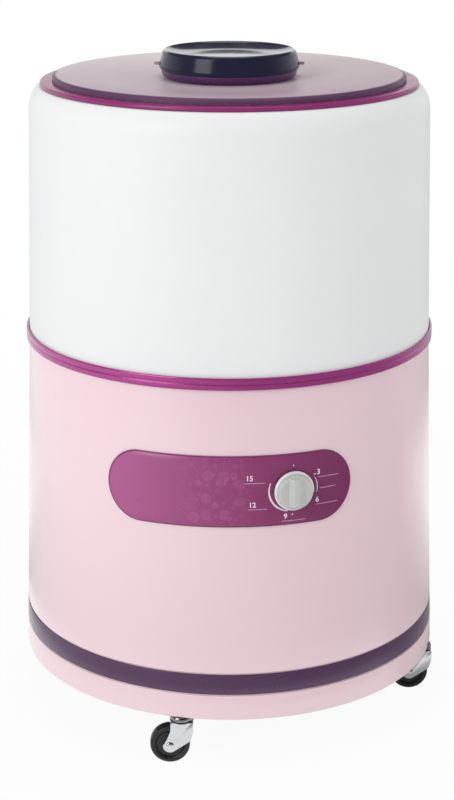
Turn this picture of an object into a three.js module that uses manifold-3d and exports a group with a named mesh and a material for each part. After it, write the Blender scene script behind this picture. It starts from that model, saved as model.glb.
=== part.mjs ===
// Round single-tub washing machine on four swivel casters, in millimetres.
// +Z is up, the front faces -Y, and the origin is on the floor under the tub's axis.
import * as THREE from 'three';
import { mergeVertices } from 'three/addons/utils/BufferGeometryUtils.js';
import Module from 'manifold-3d';

const wasm = await Module();
wasm.setup();

// Counts and turns
const BODY_SEGMENTS = 36;
const MIDDLE_SEGMENTS = 24;
const ROUND_SEGMENTS = 20;
const SMALL_SEGMENTS = 12;
const CORNER_STEPS = 3;
const SHOULDER_STEPS = 5;
const BEND_STEPS = 10;
const PIPE_SIDES = 8;
const QUARTER_TURN = Math.PI / 2;
const HALF_TURN = Math.PI;
const FULL_TURN = 2 * Math.PI;
const DEGREE = Math.PI / 180;

// Clearances and cuts
const FIT_GAP = 0.3;
const RUNNING_GAP = 1;
const CUT_OVERRUN = 5;

// Skirt
const FOOT_HEIGHT = 68;
const FOOT_RADIUS = 288.9;
const SKIRT_HEIGHT = 451.5;
const SKIRT_FLARE = 16.9;
const WAIST_HEIGHT = FOOT_HEIGHT + SKIRT_HEIGHT;
const WAIST_RADIUS = FOOT_RADIUS - SKIRT_FLARE;
const SKIRT_WALL = 3;
const SKIRT_FLANGE_WIDTH = 22;

// Stripe band, let into the skirt
const STRIPE_RISE = 34.5;
const STRIPE_BOTTOM_HEIGHT = FOOT_HEIGHT + STRIPE_RISE;
const STRIPE_WIDTH = 29.5;
const STRIPE_THICKNESS = 1;

// Belt trim, round the joint of tub and skirt
const BELT_WIDTH = 15.7;
const BELT_THICKNESS = 4;
const BELT_EDGE = 1.5;

// Tub
const TUB_WALL = 3.5;
const TUB_DRAFT = 8.2;
const SHELL_HEIGHT = 299.6;
const SHOULDER_RISE = 30;
const MOUTH_INSET = 21;
const SHOULDER_ROUND_WIDTH = 25;
const SHOULDER_ROUND_HEIGHT = 33.3;
const TUB_LEDGE_WIDTH = 36;
const TUB_FOOT_INSET = 5;
const TUB_DROP = 189.5;
const TUB_SHOULDER_HEIGHT = WAIST_HEIGHT + SHELL_HEIGHT;
const TUB_SHOULDER_RADIUS = WAIST_RADIUS - TUB_DRAFT;
const TUB_TOP_HEIGHT = TUB_SHOULDER_HEIGHT + SHOULDER_RISE;
const TUB_MOUTH_RADIUS = TUB_SHOULDER_RADIUS - MOUTH_INSET;
const TUB_LEDGE_RADIUS = WAIST_RADIUS - TUB_LEDGE_WIDTH;
const TUB_FOOT_RADIUS = TUB_LEDGE_RADIUS - TUB_FOOT_INSET;
const TUB_FLOOR_HEIGHT = WAIST_HEIGHT - TUB_DROP;
const TUB_CORNER_RADIUS = 28;
const TUB_BORE_RADIUS = 22;

// Lid
const LID_RIM_REACH = 5.4;
const LID_RIM_HEIGHT = 5.8;
const LID_RIM_EDGE = 2;
const LID_RIM_WIDTH = 28;
const LID_SPIGOT_PLAY = 3;
const LID_SPIGOT_DEPTH = 9;
const LID_SPIGOT_WALL = 2.5;
const LID_STEP_WIDTH = 16.2;
const LID_RAISED_HEIGHT = 7.5;
const LID_EDGE = 3.5;
const LID_WALL = 3;
const LID_DISH_RADIUS = 110;
const LID_DISH_DEPTH = 6;
const LID_RIM_RADIUS = TUB_MOUTH_RADIUS + LID_RIM_REACH;
const LID_SPIGOT_RADIUS = TUB_MOUTH_RADIUS - LID_SPIGOT_PLAY;
const LID_RAISED_RADIUS = LID_RIM_RADIUS - LID_STEP_WIDTH;

// Lid handle
const HANDLE_RADIUS = 92.7;
const HANDLE_OVERHANG = 3.4;
const HANDLE_DRAFT = 4.3;
const HANDLE_BRIM_WIDTH = 8.2;
const COLLAR_HEIGHT = 10.7;
const COLLAR_FLARE = 7.5;
const COLLAR_TOP_RADIUS = HANDLE_RADIUS - HANDLE_OVERHANG;
const COLLAR_FOOT_RADIUS = COLLAR_TOP_RADIUS - COLLAR_FLARE;
const COLLAR_WALL = 4;
const HANDLE_HEIGHT = 25.3;
const HANDLE_TOP_EDGE = 3;
const HANDLE_FOOT_EDGE = 3;
const HANDLE_DISH_RADIUS = HANDLE_RADIUS - HANDLE_BRIM_WIDTH;
const HANDLE_DISH_DEPTH = 8.5;
const HANDLE_WALL = 4;
const HANDLE_LUG_WIDTH = 5;
const HANDLE_LUG_HEIGHT = 4;
const HANDLE_LUG_REACH = 5.8;
const HANDLE_LUG_RISE = 4.7;
const HANDLE_SCREW_RADIUS = 4;
const SCREW_HEAD_RADIUS = 9;
const SCREW_HEAD_HEIGHT = 4;
const SCREW_BOSS_RADIUS = 10;

// Control plate
const PLATE_WIDTH = 308;
const PLATE_HEIGHT = 93.4;
const PLATE_DROP = 139.4;
const PLATE_MIDDLE_HEIGHT = WAIST_HEIGHT - PLATE_DROP;
const PLATE_MIDDLE_AZIMUTH = 0;
const PLATE_END_WIDTH = 40;
const PLATE_THICKNESS = 2;

// Timer and its knob
const TIMER_AZIMUTH = 16.7 * DEGREE;
const TIMER_DROP = 1.1;
const TIMER_HEIGHT = PLATE_MIDDLE_HEIGHT - TIMER_DROP;
const TIMER_SHAFT_RADIUS = 3;
const TIMER_BODY_WIDTH = 52;
const TIMER_BODY_HEIGHT = 60;
const TIMER_BODY_DEPTH = 32;
const TIMER_BUSH_RADIUS = 9;
const TIMER_BUSH_LENGTH = 1.5;
const KNOB_RADIUS = 26;
const KNOB_SKIRT_HEIGHT = 4;
const KNOB_CROWN_RADIUS = 22;
const KNOB_HEIGHT = 10;
const KNOB_EDGE = 3;
const KNOB_RIDGE_FOOT = 24;
const KNOB_RIDGE_CREST = 11;
const KNOB_RIDGE_LENGTH = 36;
const KNOB_RIDGE_HEIGHT = 5;
const KNOB_NOTCH_DEPTH = 3;
const KNOB_NOTCH_WIDTH = 11;
const KNOB_NOTCH_ANGLE = -40 * DEGREE;

// Agitator
const AGITATOR_FLOOR_GAP = 7;
const AGITATOR_MARGIN = 81;
const AGITATOR_RADIUS = TUB_FOOT_RADIUS - AGITATOR_MARGIN;
const AGITATOR_LIP = 5;
const AGITATOR_SLOPE_RADIUS = 78;
const AGITATOR_SLOPE_HEIGHT = 36;
const AGITATOR_NECK_RADIUS = 50;
const AGITATOR_NECK_HEIGHT = 95;
const AGITATOR_TOP_RADIUS = 40;
const AGITATOR_HEIGHT = 320;
const AGITATOR_WALL = 4;
const AGITATOR_HUB_RADIUS = 16;
const AGITATOR_HUB_LENGTH = 90;
const VANE_COUNT = 3;
const VANE_THICKNESS = 7;
const VANE_INSET = 12;
const VANE_REACH = AGITATOR_RADIUS - VANE_INSET;
const VANE_HEIGHT = 190;
const CAP_HEIGHT = 30;
const CAP_WALL = 3;
const BOLT_RADIUS = 4;
const BOLT_LENGTH = 30;
const BOLT_HEAD_RADIUS = 8;
const BOLT_HEAD_HEIGHT = 6;
const SHAFT_RADIUS = 9;
const SEAL_LIP_RADIUS = 28;
const SEAL_RIDGE_RADIUS = 18;
const SEAL_LIP_HEIGHT = 3;

// Drive under the tub
const BRACKET_THICKNESS = 4;
const BRACKET_WIDTH = 130;
const BRACKET_FRONT = 80;
const BRACKET_CORNER = 20;
const GEARBOX_FLANGE_RADIUS = 62;
const GEARBOX_FLANGE_HEIGHT = 6;
const GEARBOX_RADIUS = 54;
const GEARBOX_HEIGHT = 75;
const GEARBOX_NOSE_RADIUS = 22;
const GEARBOX_NOSE_HEIGHT = 10;
const DRIVE_SOCKET_DEPTH = 30;
const PULLEY_GAP = 6;
const PULLEY_WIDTH = 16;
const PULLEY_GROOVE_WIDTH = 10;
const PULLEY_GROOVE_DEPTH = 9;
const PULLEY_RIM = 5;
const PULLEY_WEB = 5;
const DRIVEN_PULLEY_RADIUS = 95;
const DRIVEN_HUB_RADIUS = 18;
const MOTOR_PULLEY_RADIUS = 27;
const MOTOR_OFFSET = 150;
const MOTOR_AZIMUTH = -60 * DEGREE;
const MOTOR_RADIUS = 55;
const MOTOR_HEIGHT = 78;
const MOTOR_BELL_RADIUS = 40;
const MOTOR_BELL_HEIGHT = 7;
const MOTOR_SHAFT_RADIUS = 6;
const DRIVE_BELT_WIDTH = 8;
const DRIVE_BELT_THICKNESS = 6;

// Capacitor on the base
const CAPACITOR_AZIMUTH = -90 * DEGREE;
const CAPACITOR_SHIFT = 8.75;
const CAPACITOR_RADIUS = 20;
const CAPACITOR_HEIGHT = 70;
const CLIP_WALL = 2;
const CLIP_HEIGHT = 18;
const CLIP_FOOT_LENGTH = 16;

// Drain and cord gland
const DRAIN_AZIMUTH = 180 * DEGREE;
const DRAIN_INSET = 66;
const DRAIN_RISE = 122;
const DRAIN_DISTANCE = TUB_FOOT_RADIUS - DRAIN_INSET;
const DRAIN_OUTLET_HEIGHT = FOOT_HEIGHT + DRAIN_RISE;
const DRAIN_TURN_RADIUS = 45;
const DRAIN_TUBE_RADIUS = 16;
const DRAIN_BORE_RADIUS = 12.5;
const DRAIN_OUTLET_REACH = 10;
const STRAINER_RADIUS = 26;
const STRAINER_HEIGHT = 3;
const STRAINER_SLOT_WIDTH = 3;
const STRAINER_SLOT_LENGTH = 18;
const STRAINER_SLOT_PITCH = 6;
const GLAND_AZIMUTH = 155 * DEGREE;
const GLAND_RISE = 92;
const GLAND_HEIGHT = FOOT_HEIGHT + GLAND_RISE;
const GLAND_RADIUS = 8;
const GLAND_BORE_RADIUS = 4;
const GLAND_HEAD_RADIUS = 12;
const GLAND_HEAD_LENGTH = 6;
const GLAND_TAIL_LENGTH = 14;

// Base frame
const BASE_THICKNESS = 4;
const BASE_FLANGE_HEIGHT = 34;
const BASE_HOLE_RADIUS = 110;
const BASE_LIP_HEIGHT = 12;
const BASE_BOSS_RADIUS = 7.5;
const BASE_BOSS_HEIGHT = 28;
const CAPACITOR_DISTANCE = (BASE_HOLE_RADIUS + FOOT_RADIUS) / 2 - CAPACITOR_SHIFT;

// Casters, at the corners of a rectangle
const CASTER_INSET = 11.9;
const CASTER_CIRCLE_RADIUS = FOOT_RADIUS - CASTER_INSET;
const CASTER_AZIMUTHS = { front: -13, right: 78, back: 167, left: 258 };
const CASTER_HEADINGS = { front: 0, right: 0, back: 0, left: 180 };
const STEM_RADIUS = 5;
const STEM_LENGTH = 24;
const CUP_RADIUS = 15.5;
const CUP_HEIGHT = 7.5;
const CUP_EDGE = 2;
const FORK_TOP_THICKNESS = 2.6;
const FORK_WALL = 2;
const FORK_HEAD_WIDTH = 24;
const FORK_TRAIL = 15.3;
const FORK_EYE_RADIUS = 9.3;
const FORK_SHOULDER_HEIGHT = 12;
const FORK_WAIST_HEIGHT = 18.6;
const FORK_WAIST_INSET = 0.5;
const FORK_TOE_HEIGHT = 7;
const FORK_TOE_INSET = 4;
const FORK_EYE_END = -54 * DEGREE;
const WHEEL_RADIUS = 26.3;
const WHEEL_WIDTH = 18;
const WHEEL_CROWN_DEPTH = 2;
const WHEEL_CROWN_WIDTH = 4;
const AXLE_RADIUS = 3;
const AXLE_HEAD_RADIUS = 5.5;
const AXLE_HEAD_THICKNESS = 2;

// Colours, roughness and metalness
const finish = (color, roughness, metalness = 0) =>
  new THREE.MeshStandardMaterial({ color, roughness, metalness });
const whitePlastic = finish('#eef0f1', 0.35);
const pinkPlastic = finish('#eecfd6', 0.35);
const magentaPlastic = finish('#93336f', 0.3);
const purplePlastic = finish('#5b3f63', 0.3);
const smokedPlastic = finish('#8a6a86', 0.12);
const navyPlastic = finish('#2e3145', 0.2);
const collarPlastic = finish('#4b2254', 0.3);
const greyPlastic = finish('#b9beb9', 0.35);
const blackPlastic = finish('#1f1f1f', 0.6);
const blueGreyPlastic = finish('#6f86a8', 0.45);
const blackRubber = finish('#1a1a1a', 0.8);
const zincSteel = finish('#c9cdcd', 0.25, 1);
const darkSteel = finish('#3a3036', 0.4, 0.8);
const castAlloy = finish('#a5a8aa', 0.5, 0.8);
const paintedSteel = finish('#3c4043', 0.5, 0.2);

// A closed mesh as a solid, without the slivers that a lathe leaves on its axis
function solid(geometry) {
  geometry.deleteAttribute('normal');
  geometry.deleteAttribute('uv');
  const merged = mergeVertices(geometry);
  const index = merged.index.array;
  const corners = [];
  for (let i = 0; i < index.length; i += 3) {
    const [a, b, c] = index.subarray(i, i + 3);
    if (a !== b && b !== c && c !== a) corners.push(a, b, c);
  }
  return new wasm.Manifold(new wasm.Mesh({
    numProp: 3,
    vertProperties: merged.attributes.position.array,
    triVerts: Uint32Array.from(corners),
  }));
}

function piece(name, shape, material) {
  const { vertProperties, triVerts } = shape.getMesh();
  const geometry = new THREE.BufferGeometry();
  geometry.setAttribute('position', new THREE.BufferAttribute(vertProperties, 3));
  geometry.setIndex(new THREE.BufferAttribute(triVerts, 1));
  geometry.computeVertexNormals();
  const mesh = new THREE.Mesh(geometry, material);
  mesh.name = name;
  return mesh;
}

// Points of an ellipse's arc, from one angle to another
function arc(x, y, radiusX, radiusY, from, to, steps) {
  const points = [];
  for (let i = 0; i <= steps; i += 1) {
    const angle = from + ((to - from) * i) / steps;
    points.push([x + radiusX * Math.cos(angle), y + radiusY * Math.sin(angle)]);
  }
  return points;
}

// An outline of [radius, height] points turned about Z
function turned(outline, segments) {
  const points = outline.map(([radius, height]) => new THREE.Vector2(radius, height));
  if (THREE.ShapeUtils.area(points) < 0) points.reverse();
  const onAxis = points.findIndex((p, i) => p.x === 0 && points[(i + 1) % points.length].x === 0);
  if (onAxis >= 0) {
    points.push(...points.splice(0, onAxis + 1));
  } else {
    points.push(points[0].clone());
  }
  const geometry = new THREE.LatheGeometry(points, segments);
  geometry.rotateX(QUARTER_TURN);
  return geometry;
}

// A ring of rectangular section; an inner radius of 0 makes a disc
function ringOutline(inner, outer, bottom, top) {
  return [[inner, bottom], [outer, bottom], [outer, top], [inner, top]];
}

function ring(inner, outer, bottom, top, segments) {
  return solid(turned(ringOutline(inner, outer, bottom, top), segments));
}

// An outline in the XY plane pulled up from one height to another
function slab(outline, bottom, top) {
  const shape = new THREE.Shape(outline.map(([x, y]) => new THREE.Vector2(x, y)));
  const geometry = new THREE.ExtrudeGeometry(shape, { depth: top - bottom, bevelEnabled: false });
  geometry.translate(0, 0, bottom);
  return geometry;
}

function rectangle(left, right, bottom, top) {
  return [[left, bottom], [right, bottom], [right, top], [left, top]];
}

// Rectangle with elliptical corners
function roundedRectangle(left, right, bottom, top, radiusX, radiusY, steps) {
  return [
    ...arc(right - radiusX, bottom + radiusY, radiusX, radiusY, -QUARTER_TURN, 0, steps),
    ...arc(right - radiusX, top - radiusY, radiusX, radiusY, 0, QUARTER_TURN, steps),
    ...arc(left + radiusX, top - radiusY, radiusX, radiusY, QUARTER_TURN, HALF_TURN, steps),
    ...arc(left + radiusX, bottom + radiusY, radiusX, radiusY, HALF_TURN, HALF_TURN + QUARTER_TURN, steps),
  ];
}

// Local X to the viewer's right, local Y up and local Z out of the wall, at an azimuth from the front
function facing(azimuth, distance, height) {
  const right = new THREE.Vector3(Math.cos(azimuth), Math.sin(azimuth), 0);
  const up = new THREE.Vector3(0, 0, 1);
  const out = new THREE.Vector3(Math.sin(azimuth), -Math.cos(azimuth), 0);
  const place = out.clone().multiplyScalar(distance).add(new THREE.Vector3(0, 0, height));
  return new THREE.Matrix4().makeBasis(right, up, out).setPosition(place);
}

function placeAt(azimuth, distance) {
  return [distance * Math.sin(azimuth), -distance * Math.cos(azimuth)];
}

// A round hole through a wall, as a solid to cut with
function wallHole(radius, azimuth, distance, height, depth) {
  const hole = turned(ringOutline(0, radius, -depth, depth), SMALL_SEGMENTS);
  hole.applyMatrix4(facing(azimuth, distance, height));
  return solid(hole);
}

function floorHole(radius, x, y, bottom, top) {
  const hole = turned(ringOutline(0, radius, bottom, top), SMALL_SEGMENTS);
  hole.translate(x, y, 0);
  return solid(hole);
}

// The skirt's outer radius falls steadily from the foot to the waist
const SKIRT_TAPER = (FOOT_RADIUS - WAIST_RADIUS) / (WAIST_HEIGHT - FOOT_HEIGHT);
const skirtRadius = (height) => WAIST_RADIUS + SKIRT_TAPER * (WAIST_HEIGHT - height);
const FACET_SHARE = Math.cos(HALF_TURN / BODY_SEGMENTS);

// Heights that follow from the sizes above
const TUB_LEDGE_HEIGHT = WAIST_HEIGHT + FIT_GAP;
const TUB_INNER_FLOOR = TUB_FLOOR_HEIGHT + TUB_WALL;
const RIM_BOTTOM = TUB_TOP_HEIGHT + FIT_GAP;
const RIM_TOP = RIM_BOTTOM + LID_RIM_HEIGHT;
const LID_BOTTOM = RIM_TOP + FIT_GAP;
const LID_TOP = LID_BOTTOM + LID_RAISED_HEIGHT;
const COLLAR_BOTTOM = LID_TOP - LID_DISH_DEPTH + FIT_GAP;
const COLLAR_TOP = COLLAR_BOTTOM + COLLAR_HEIGHT;
const HANDLE_BOTTOM = COLLAR_TOP + FIT_GAP;
const HANDLE_TOP = HANDLE_BOTTOM + HANDLE_HEIGHT;
const AGITATOR_BOTTOM = TUB_INNER_FLOOR + AGITATOR_FLOOR_GAP;
const AGITATOR_TOP = AGITATOR_BOTTOM + AGITATOR_HEIGHT;
const BRACKET_TOP = TUB_FLOOR_HEIGHT - FIT_GAP;
const BRACKET_BOTTOM = BRACKET_TOP - BRACKET_THICKNESS;
const DRIVE_TOP = BRACKET_BOTTOM - FIT_GAP;
const GEARBOX_BOTTOM = DRIVE_TOP - GEARBOX_HEIGHT;
const PULLEY_TOP = GEARBOX_BOTTOM - GEARBOX_NOSE_HEIGHT - PULLEY_GAP;
const PULLEY_MIDDLE = PULLEY_TOP - PULLEY_WIDTH / 2;
const BASE_TOP = FOOT_HEIGHT + BASE_THICKNESS;

// Lower shell with a groove for the stripe and a flange that carries the tub
function makeSkirt() {
  const stripeTop = STRIPE_BOTTOM_HEIGHT + STRIPE_WIDTH;
  const groove = STRIPE_THICKNESS + FIT_GAP;
  const shell = solid(turned([
    [FOOT_RADIUS, FOOT_HEIGHT],
    [skirtRadius(STRIPE_BOTTOM_HEIGHT), STRIPE_BOTTOM_HEIGHT],
    [skirtRadius(STRIPE_BOTTOM_HEIGHT) - groove, STRIPE_BOTTOM_HEIGHT],
    [skirtRadius(stripeTop) - groove, stripeTop],
    [skirtRadius(stripeTop), stripeTop],
    [WAIST_RADIUS, WAIST_HEIGHT],
    [WAIST_RADIUS - SKIRT_FLANGE_WIDTH, WAIST_HEIGHT],
    [WAIST_RADIUS - SKIRT_FLANGE_WIDTH, WAIST_HEIGHT - SKIRT_WALL],
    [skirtRadius(WAIST_HEIGHT - SKIRT_WALL) - SKIRT_WALL, WAIST_HEIGHT - SKIRT_WALL],
    [FOOT_RADIUS - SKIRT_WALL, FOOT_HEIGHT],
  ], BODY_SEGMENTS));
  const reach = SKIRT_WALL + CUT_OVERRUN;
  return shell
    .subtract(wallHole(TIMER_BUSH_RADIUS + FIT_GAP, TIMER_AZIMUTH,
      skirtRadius(TIMER_HEIGHT), TIMER_HEIGHT, reach))
    .subtract(wallHole(DRAIN_TUBE_RADIUS + RUNNING_GAP, DRAIN_AZIMUTH,
      skirtRadius(DRAIN_OUTLET_HEIGHT), DRAIN_OUTLET_HEIGHT, reach))
    .subtract(wallHole(GLAND_RADIUS + FIT_GAP, GLAND_AZIMUTH,
      skirtRadius(GLAND_HEIGHT), GLAND_HEIGHT, reach));
}

function makeStripeBand() {
  const bottom = STRIPE_BOTTOM_HEIGHT + FIT_GAP;
  const top = STRIPE_BOTTOM_HEIGHT + STRIPE_WIDTH - FIT_GAP;
  return solid(turned([
    [skirtRadius(bottom) - STRIPE_THICKNESS, bottom],
    [skirtRadius(bottom), bottom],
    [skirtRadius(top), top],
    [skirtRadius(top) - STRIPE_THICKNESS, top],
  ], BODY_SEGMENTS));
}

function makeBeltTrim() {
  const bottom = WAIST_HEIGHT - BELT_WIDTH / 2;
  const top = WAIST_HEIGHT + BELT_WIDTH / 2;
  const inner = skirtRadius(bottom) + FIT_GAP;
  const outer = WAIST_RADIUS + BELT_THICKNESS;
  return solid(turned([
    [inner, bottom],
    [outer - BELT_EDGE, bottom],
    [outer, bottom + BELT_EDGE],
    [outer, top - BELT_EDGE],
    [outer - BELT_EDGE, top],
    [inner, top],
  ], BODY_SEGMENTS));
}

// White vessel: the wide upper part shows, the narrow lower part hangs inside the skirt
function makeTub() {
  const shoulderCentre = TUB_SHOULDER_RADIUS - SHOULDER_ROUND_WIDTH;
  const shoulderEnd = Math.asin(SHOULDER_RISE / SHOULDER_ROUND_HEIGHT);
  const innerRoundWidth = TUB_SHOULDER_RADIUS - TUB_WALL - TUB_MOUTH_RADIUS;
  const cornerCentre = TUB_FLOOR_HEIGHT + TUB_CORNER_RADIUS;
  const cornerRadius = TUB_FOOT_RADIUS - TUB_CORNER_RADIUS;
  const innerCorner = TUB_CORNER_RADIUS - TUB_WALL;
  const vessel = solid(turned([
    [TUB_BORE_RADIUS, TUB_FLOOR_HEIGHT],
    ...arc(cornerRadius, cornerCentre, TUB_CORNER_RADIUS, TUB_CORNER_RADIUS, -QUARTER_TURN, 0, CORNER_STEPS),
    [TUB_LEDGE_RADIUS, TUB_LEDGE_HEIGHT],
    [WAIST_RADIUS, TUB_LEDGE_HEIGHT],
    ...arc(shoulderCentre, TUB_SHOULDER_HEIGHT, SHOULDER_ROUND_WIDTH, SHOULDER_ROUND_HEIGHT,
      0, shoulderEnd, SHOULDER_STEPS),
    [TUB_MOUTH_RADIUS, TUB_TOP_HEIGHT],
    ...arc(TUB_MOUTH_RADIUS, TUB_SHOULDER_HEIGHT, innerRoundWidth, SHOULDER_RISE - TUB_WALL,
      QUARTER_TURN, 0, CORNER_STEPS),
    [WAIST_RADIUS - TUB_WALL, TUB_LEDGE_HEIGHT + TUB_WALL],
    [TUB_LEDGE_RADIUS - TUB_WALL, TUB_LEDGE_HEIGHT + TUB_WALL],
    ...arc(cornerRadius, cornerCentre, innerCorner, innerCorner, 0, -QUARTER_TURN, CORNER_STEPS),
    [TUB_BORE_RADIUS, TUB_INNER_FLOOR],
  ], BODY_SEGMENTS));
  const [x, y] = placeAt(DRAIN_AZIMUTH, DRAIN_DISTANCE);
  return vessel.subtract(floorHole(DRAIN_BORE_RADIUS, x, y,
    TUB_FLOOR_HEIGHT - CUT_OVERRUN, TUB_INNER_FLOOR + CUT_OVERRUN));
}

// Outer ring of the lid with the spigot that centres it in the tub's mouth
function makeLidRim() {
  const spigotInner = LID_SPIGOT_RADIUS - LID_SPIGOT_WALL;
  return solid(turned([
    [LID_RIM_RADIUS - LID_RIM_WIDTH, RIM_TOP],
    [LID_RIM_RADIUS - LID_RIM_WIDTH, RIM_TOP - LID_WALL],
    [spigotInner, RIM_TOP - LID_WALL],
    [spigotInner, RIM_BOTTOM - LID_SPIGOT_DEPTH],
    [LID_SPIGOT_RADIUS, RIM_BOTTOM - LID_SPIGOT_DEPTH],
    [LID_SPIGOT_RADIUS, RIM_BOTTOM],
    [LID_RIM_RADIUS, RIM_BOTTOM],
    [LID_RIM_RADIUS, RIM_TOP - LID_RIM_EDGE],
    [LID_RIM_RADIUS - LID_RIM_EDGE, RIM_TOP],
  ], BODY_SEGMENTS));
}

// Raised smoked disc, dished in the middle where the handle stands
function makeLidPanel() {
  const inner = LID_RAISED_RADIUS - LID_WALL;
  const dishTop = LID_TOP - LID_DISH_DEPTH;
  const boreRadius = HANDLE_SCREW_RADIUS + FIT_GAP;
  return solid(turned([
    [boreRadius, dishTop - LID_WALL],
    [LID_DISH_RADIUS, dishTop - LID_WALL],
    [inner - LID_EDGE, LID_TOP - LID_WALL],
    [inner, LID_TOP - LID_WALL - LID_EDGE],
    [inner, LID_BOTTOM],
    [LID_RAISED_RADIUS, LID_BOTTOM],
    [LID_RAISED_RADIUS, LID_TOP - LID_EDGE],
    [LID_RAISED_RADIUS - LID_EDGE, LID_TOP],
    [LID_DISH_RADIUS, dishTop],
    [boreRadius, dishTop],
  ], BODY_SEGMENTS));
}

function makeCollar() {
  const round = COLLAR_TOP_RADIUS - COLLAR_FOOT_RADIUS;
  const side = arc(COLLAR_FOOT_RADIUS, COLLAR_TOP, round, COLLAR_HEIGHT, -QUARTER_TURN, 0, CORNER_STEPS);
  const boreRadius = HANDLE_SCREW_RADIUS + FIT_GAP;
  return solid(turned([
    [boreRadius, COLLAR_BOTTOM],
    ...side,
    [COLLAR_FOOT_RADIUS - COLLAR_WALL, COLLAR_TOP],
    [COLLAR_FOOT_RADIUS - COLLAR_WALL, COLLAR_BOTTOM + COLLAR_WALL],
    [boreRadius, COLLAR_BOTTOM + COLLAR_WALL],
  ], MIDDLE_SEGMENTS));
}

// Grip: a disc with a dished top, hollow below, a screw boss and a small lug at each side
function makeHandle() {
  const underDish = HANDLE_TOP - HANDLE_DISH_DEPTH - HANDLE_WALL;
  const dish = [];
  for (let i = 0; i <= SHOULDER_STEPS; i += 1) {
    const radius = (HANDLE_DISH_RADIUS * (SHOULDER_STEPS - i)) / SHOULDER_STEPS;
    const share = radius / HANDLE_DISH_RADIUS;
    dish.push([radius, HANDLE_TOP - HANDLE_DISH_DEPTH * (1 - share * share)]);
  }
  const lip = arc(HANDLE_RADIUS - HANDLE_DRAFT - HANDLE_TOP_EDGE, HANDLE_TOP - HANDLE_TOP_EDGE,
    HANDLE_TOP_EDGE, HANDLE_TOP_EDGE, 0, QUARTER_TURN, CORNER_STEPS);
  const grip = solid(turned([
    [COLLAR_FOOT_RADIUS - HANDLE_WALL, HANDLE_BOTTOM],
    [HANDLE_RADIUS - HANDLE_FOOT_EDGE, HANDLE_BOTTOM],
    [HANDLE_RADIUS, HANDLE_BOTTOM + HANDLE_FOOT_EDGE],
    ...lip,
    ...dish,
    [0, underDish],
    [COLLAR_FOOT_RADIUS - HANDLE_WALL, underDish],
  ], MIDDLE_SEGMENTS));
  const boss = ring(HANDLE_SCREW_RADIUS + FIT_GAP, SCREW_BOSS_RADIUS,
    COLLAR_BOTTOM + COLLAR_WALL + FIT_GAP, underDish + FIT_GAP, ROUND_SEGMENTS);
  const half = HANDLE_RADIUS + HANDLE_LUG_REACH;
  const lugBottom = HANDLE_BOTTOM + HANDLE_LUG_RISE;
  const lugBar = solid(slab(rectangle(-half, half, -HANDLE_LUG_WIDTH / 2, HANDLE_LUG_WIDTH / 2),
    lugBottom, lugBottom + HANDLE_LUG_HEIGHT));
  const inside = ring(0, COLLAR_FOOT_RADIUS, HANDLE_BOTTOM - CUT_OVERRUN, underDish, MIDDLE_SEGMENTS);
  return grip.add(lugBar.subtract(inside)).add(boss);
}

function makeHandleScrew() {
  const headTop = LID_TOP - LID_DISH_DEPTH - LID_WALL - FIT_GAP;
  const tip = HANDLE_TOP - HANDLE_DISH_DEPTH - HANDLE_WALL - FIT_GAP;
  return solid(turned([
    [0, headTop - SCREW_HEAD_HEIGHT],
    [SCREW_HEAD_RADIUS, headTop - SCREW_HEAD_HEIGHT],
    [SCREW_HEAD_RADIUS, headTop],
    [HANDLE_SCREW_RADIUS, headTop],
    [HANDLE_SCREW_RADIUS, tip],
    [0, tip],
  ], SMALL_SEGMENTS));
}

// Curved plate that follows the skirt's wall facet for facet
function makeControlPlate() {
  const bottom = PLATE_MIDDLE_HEIGHT - PLATE_HEIGHT / 2;
  const top = PLATE_MIDDLE_HEIGHT + PLATE_HEIGHT / 2;
  const wall = solid(turned([
    [skirtRadius(bottom - CUT_OVERRUN) + FIT_GAP, bottom - CUT_OVERRUN],
    [skirtRadius(bottom - CUT_OVERRUN) + FIT_GAP + PLATE_THICKNESS, bottom - CUT_OVERRUN],
    [skirtRadius(top + CUT_OVERRUN) + FIT_GAP + PLATE_THICKNESS, top + CUT_OVERRUN],
    [skirtRadius(top + CUT_OVERRUN) + FIT_GAP, top + CUT_OVERRUN],
  ], BODY_SEGMENTS));
  const outline = roundedRectangle(-PLATE_WIDTH / 2, PLATE_WIDTH / 2, -PLATE_HEIGHT / 2, PLATE_HEIGHT / 2,
    PLATE_END_WIDTH, PLATE_HEIGHT / 2, SHOULDER_STEPS);
  const cutter = slab(outline, 0, FOOT_RADIUS);
  cutter.applyMatrix4(facing(PLATE_MIDDLE_AZIMUTH, WAIST_RADIUS / 2, PLATE_MIDDLE_HEIGHT));
  return wall.intersect(solid(cutter)).subtract(wallHole(TIMER_BUSH_RADIUS + FIT_GAP, TIMER_AZIMUTH,
    skirtRadius(TIMER_HEIGHT), TIMER_HEIGHT, PLATE_THICKNESS + CUT_OVERRUN));
}

// The timer's box lies with its upright edges against the skirt's wall
const WALL_AT_TIMER_TOP = skirtRadius(TIMER_HEIGHT + TIMER_BODY_HEIGHT / 2) - SKIRT_WALL;
const TIMER_EDGE_RADIUS = WALL_AT_TIMER_TOP * FACET_SHARE - FIT_GAP;
const TIMER_FACE = Math.sqrt(TIMER_EDGE_RADIUS ** 2 - (TIMER_BODY_WIDTH / 2) ** 2);
const KNOB_BACK = skirtRadius(TIMER_HEIGHT - KNOB_RADIUS) + FIT_GAP + PLATE_THICKNESS + RUNNING_GAP;

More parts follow.
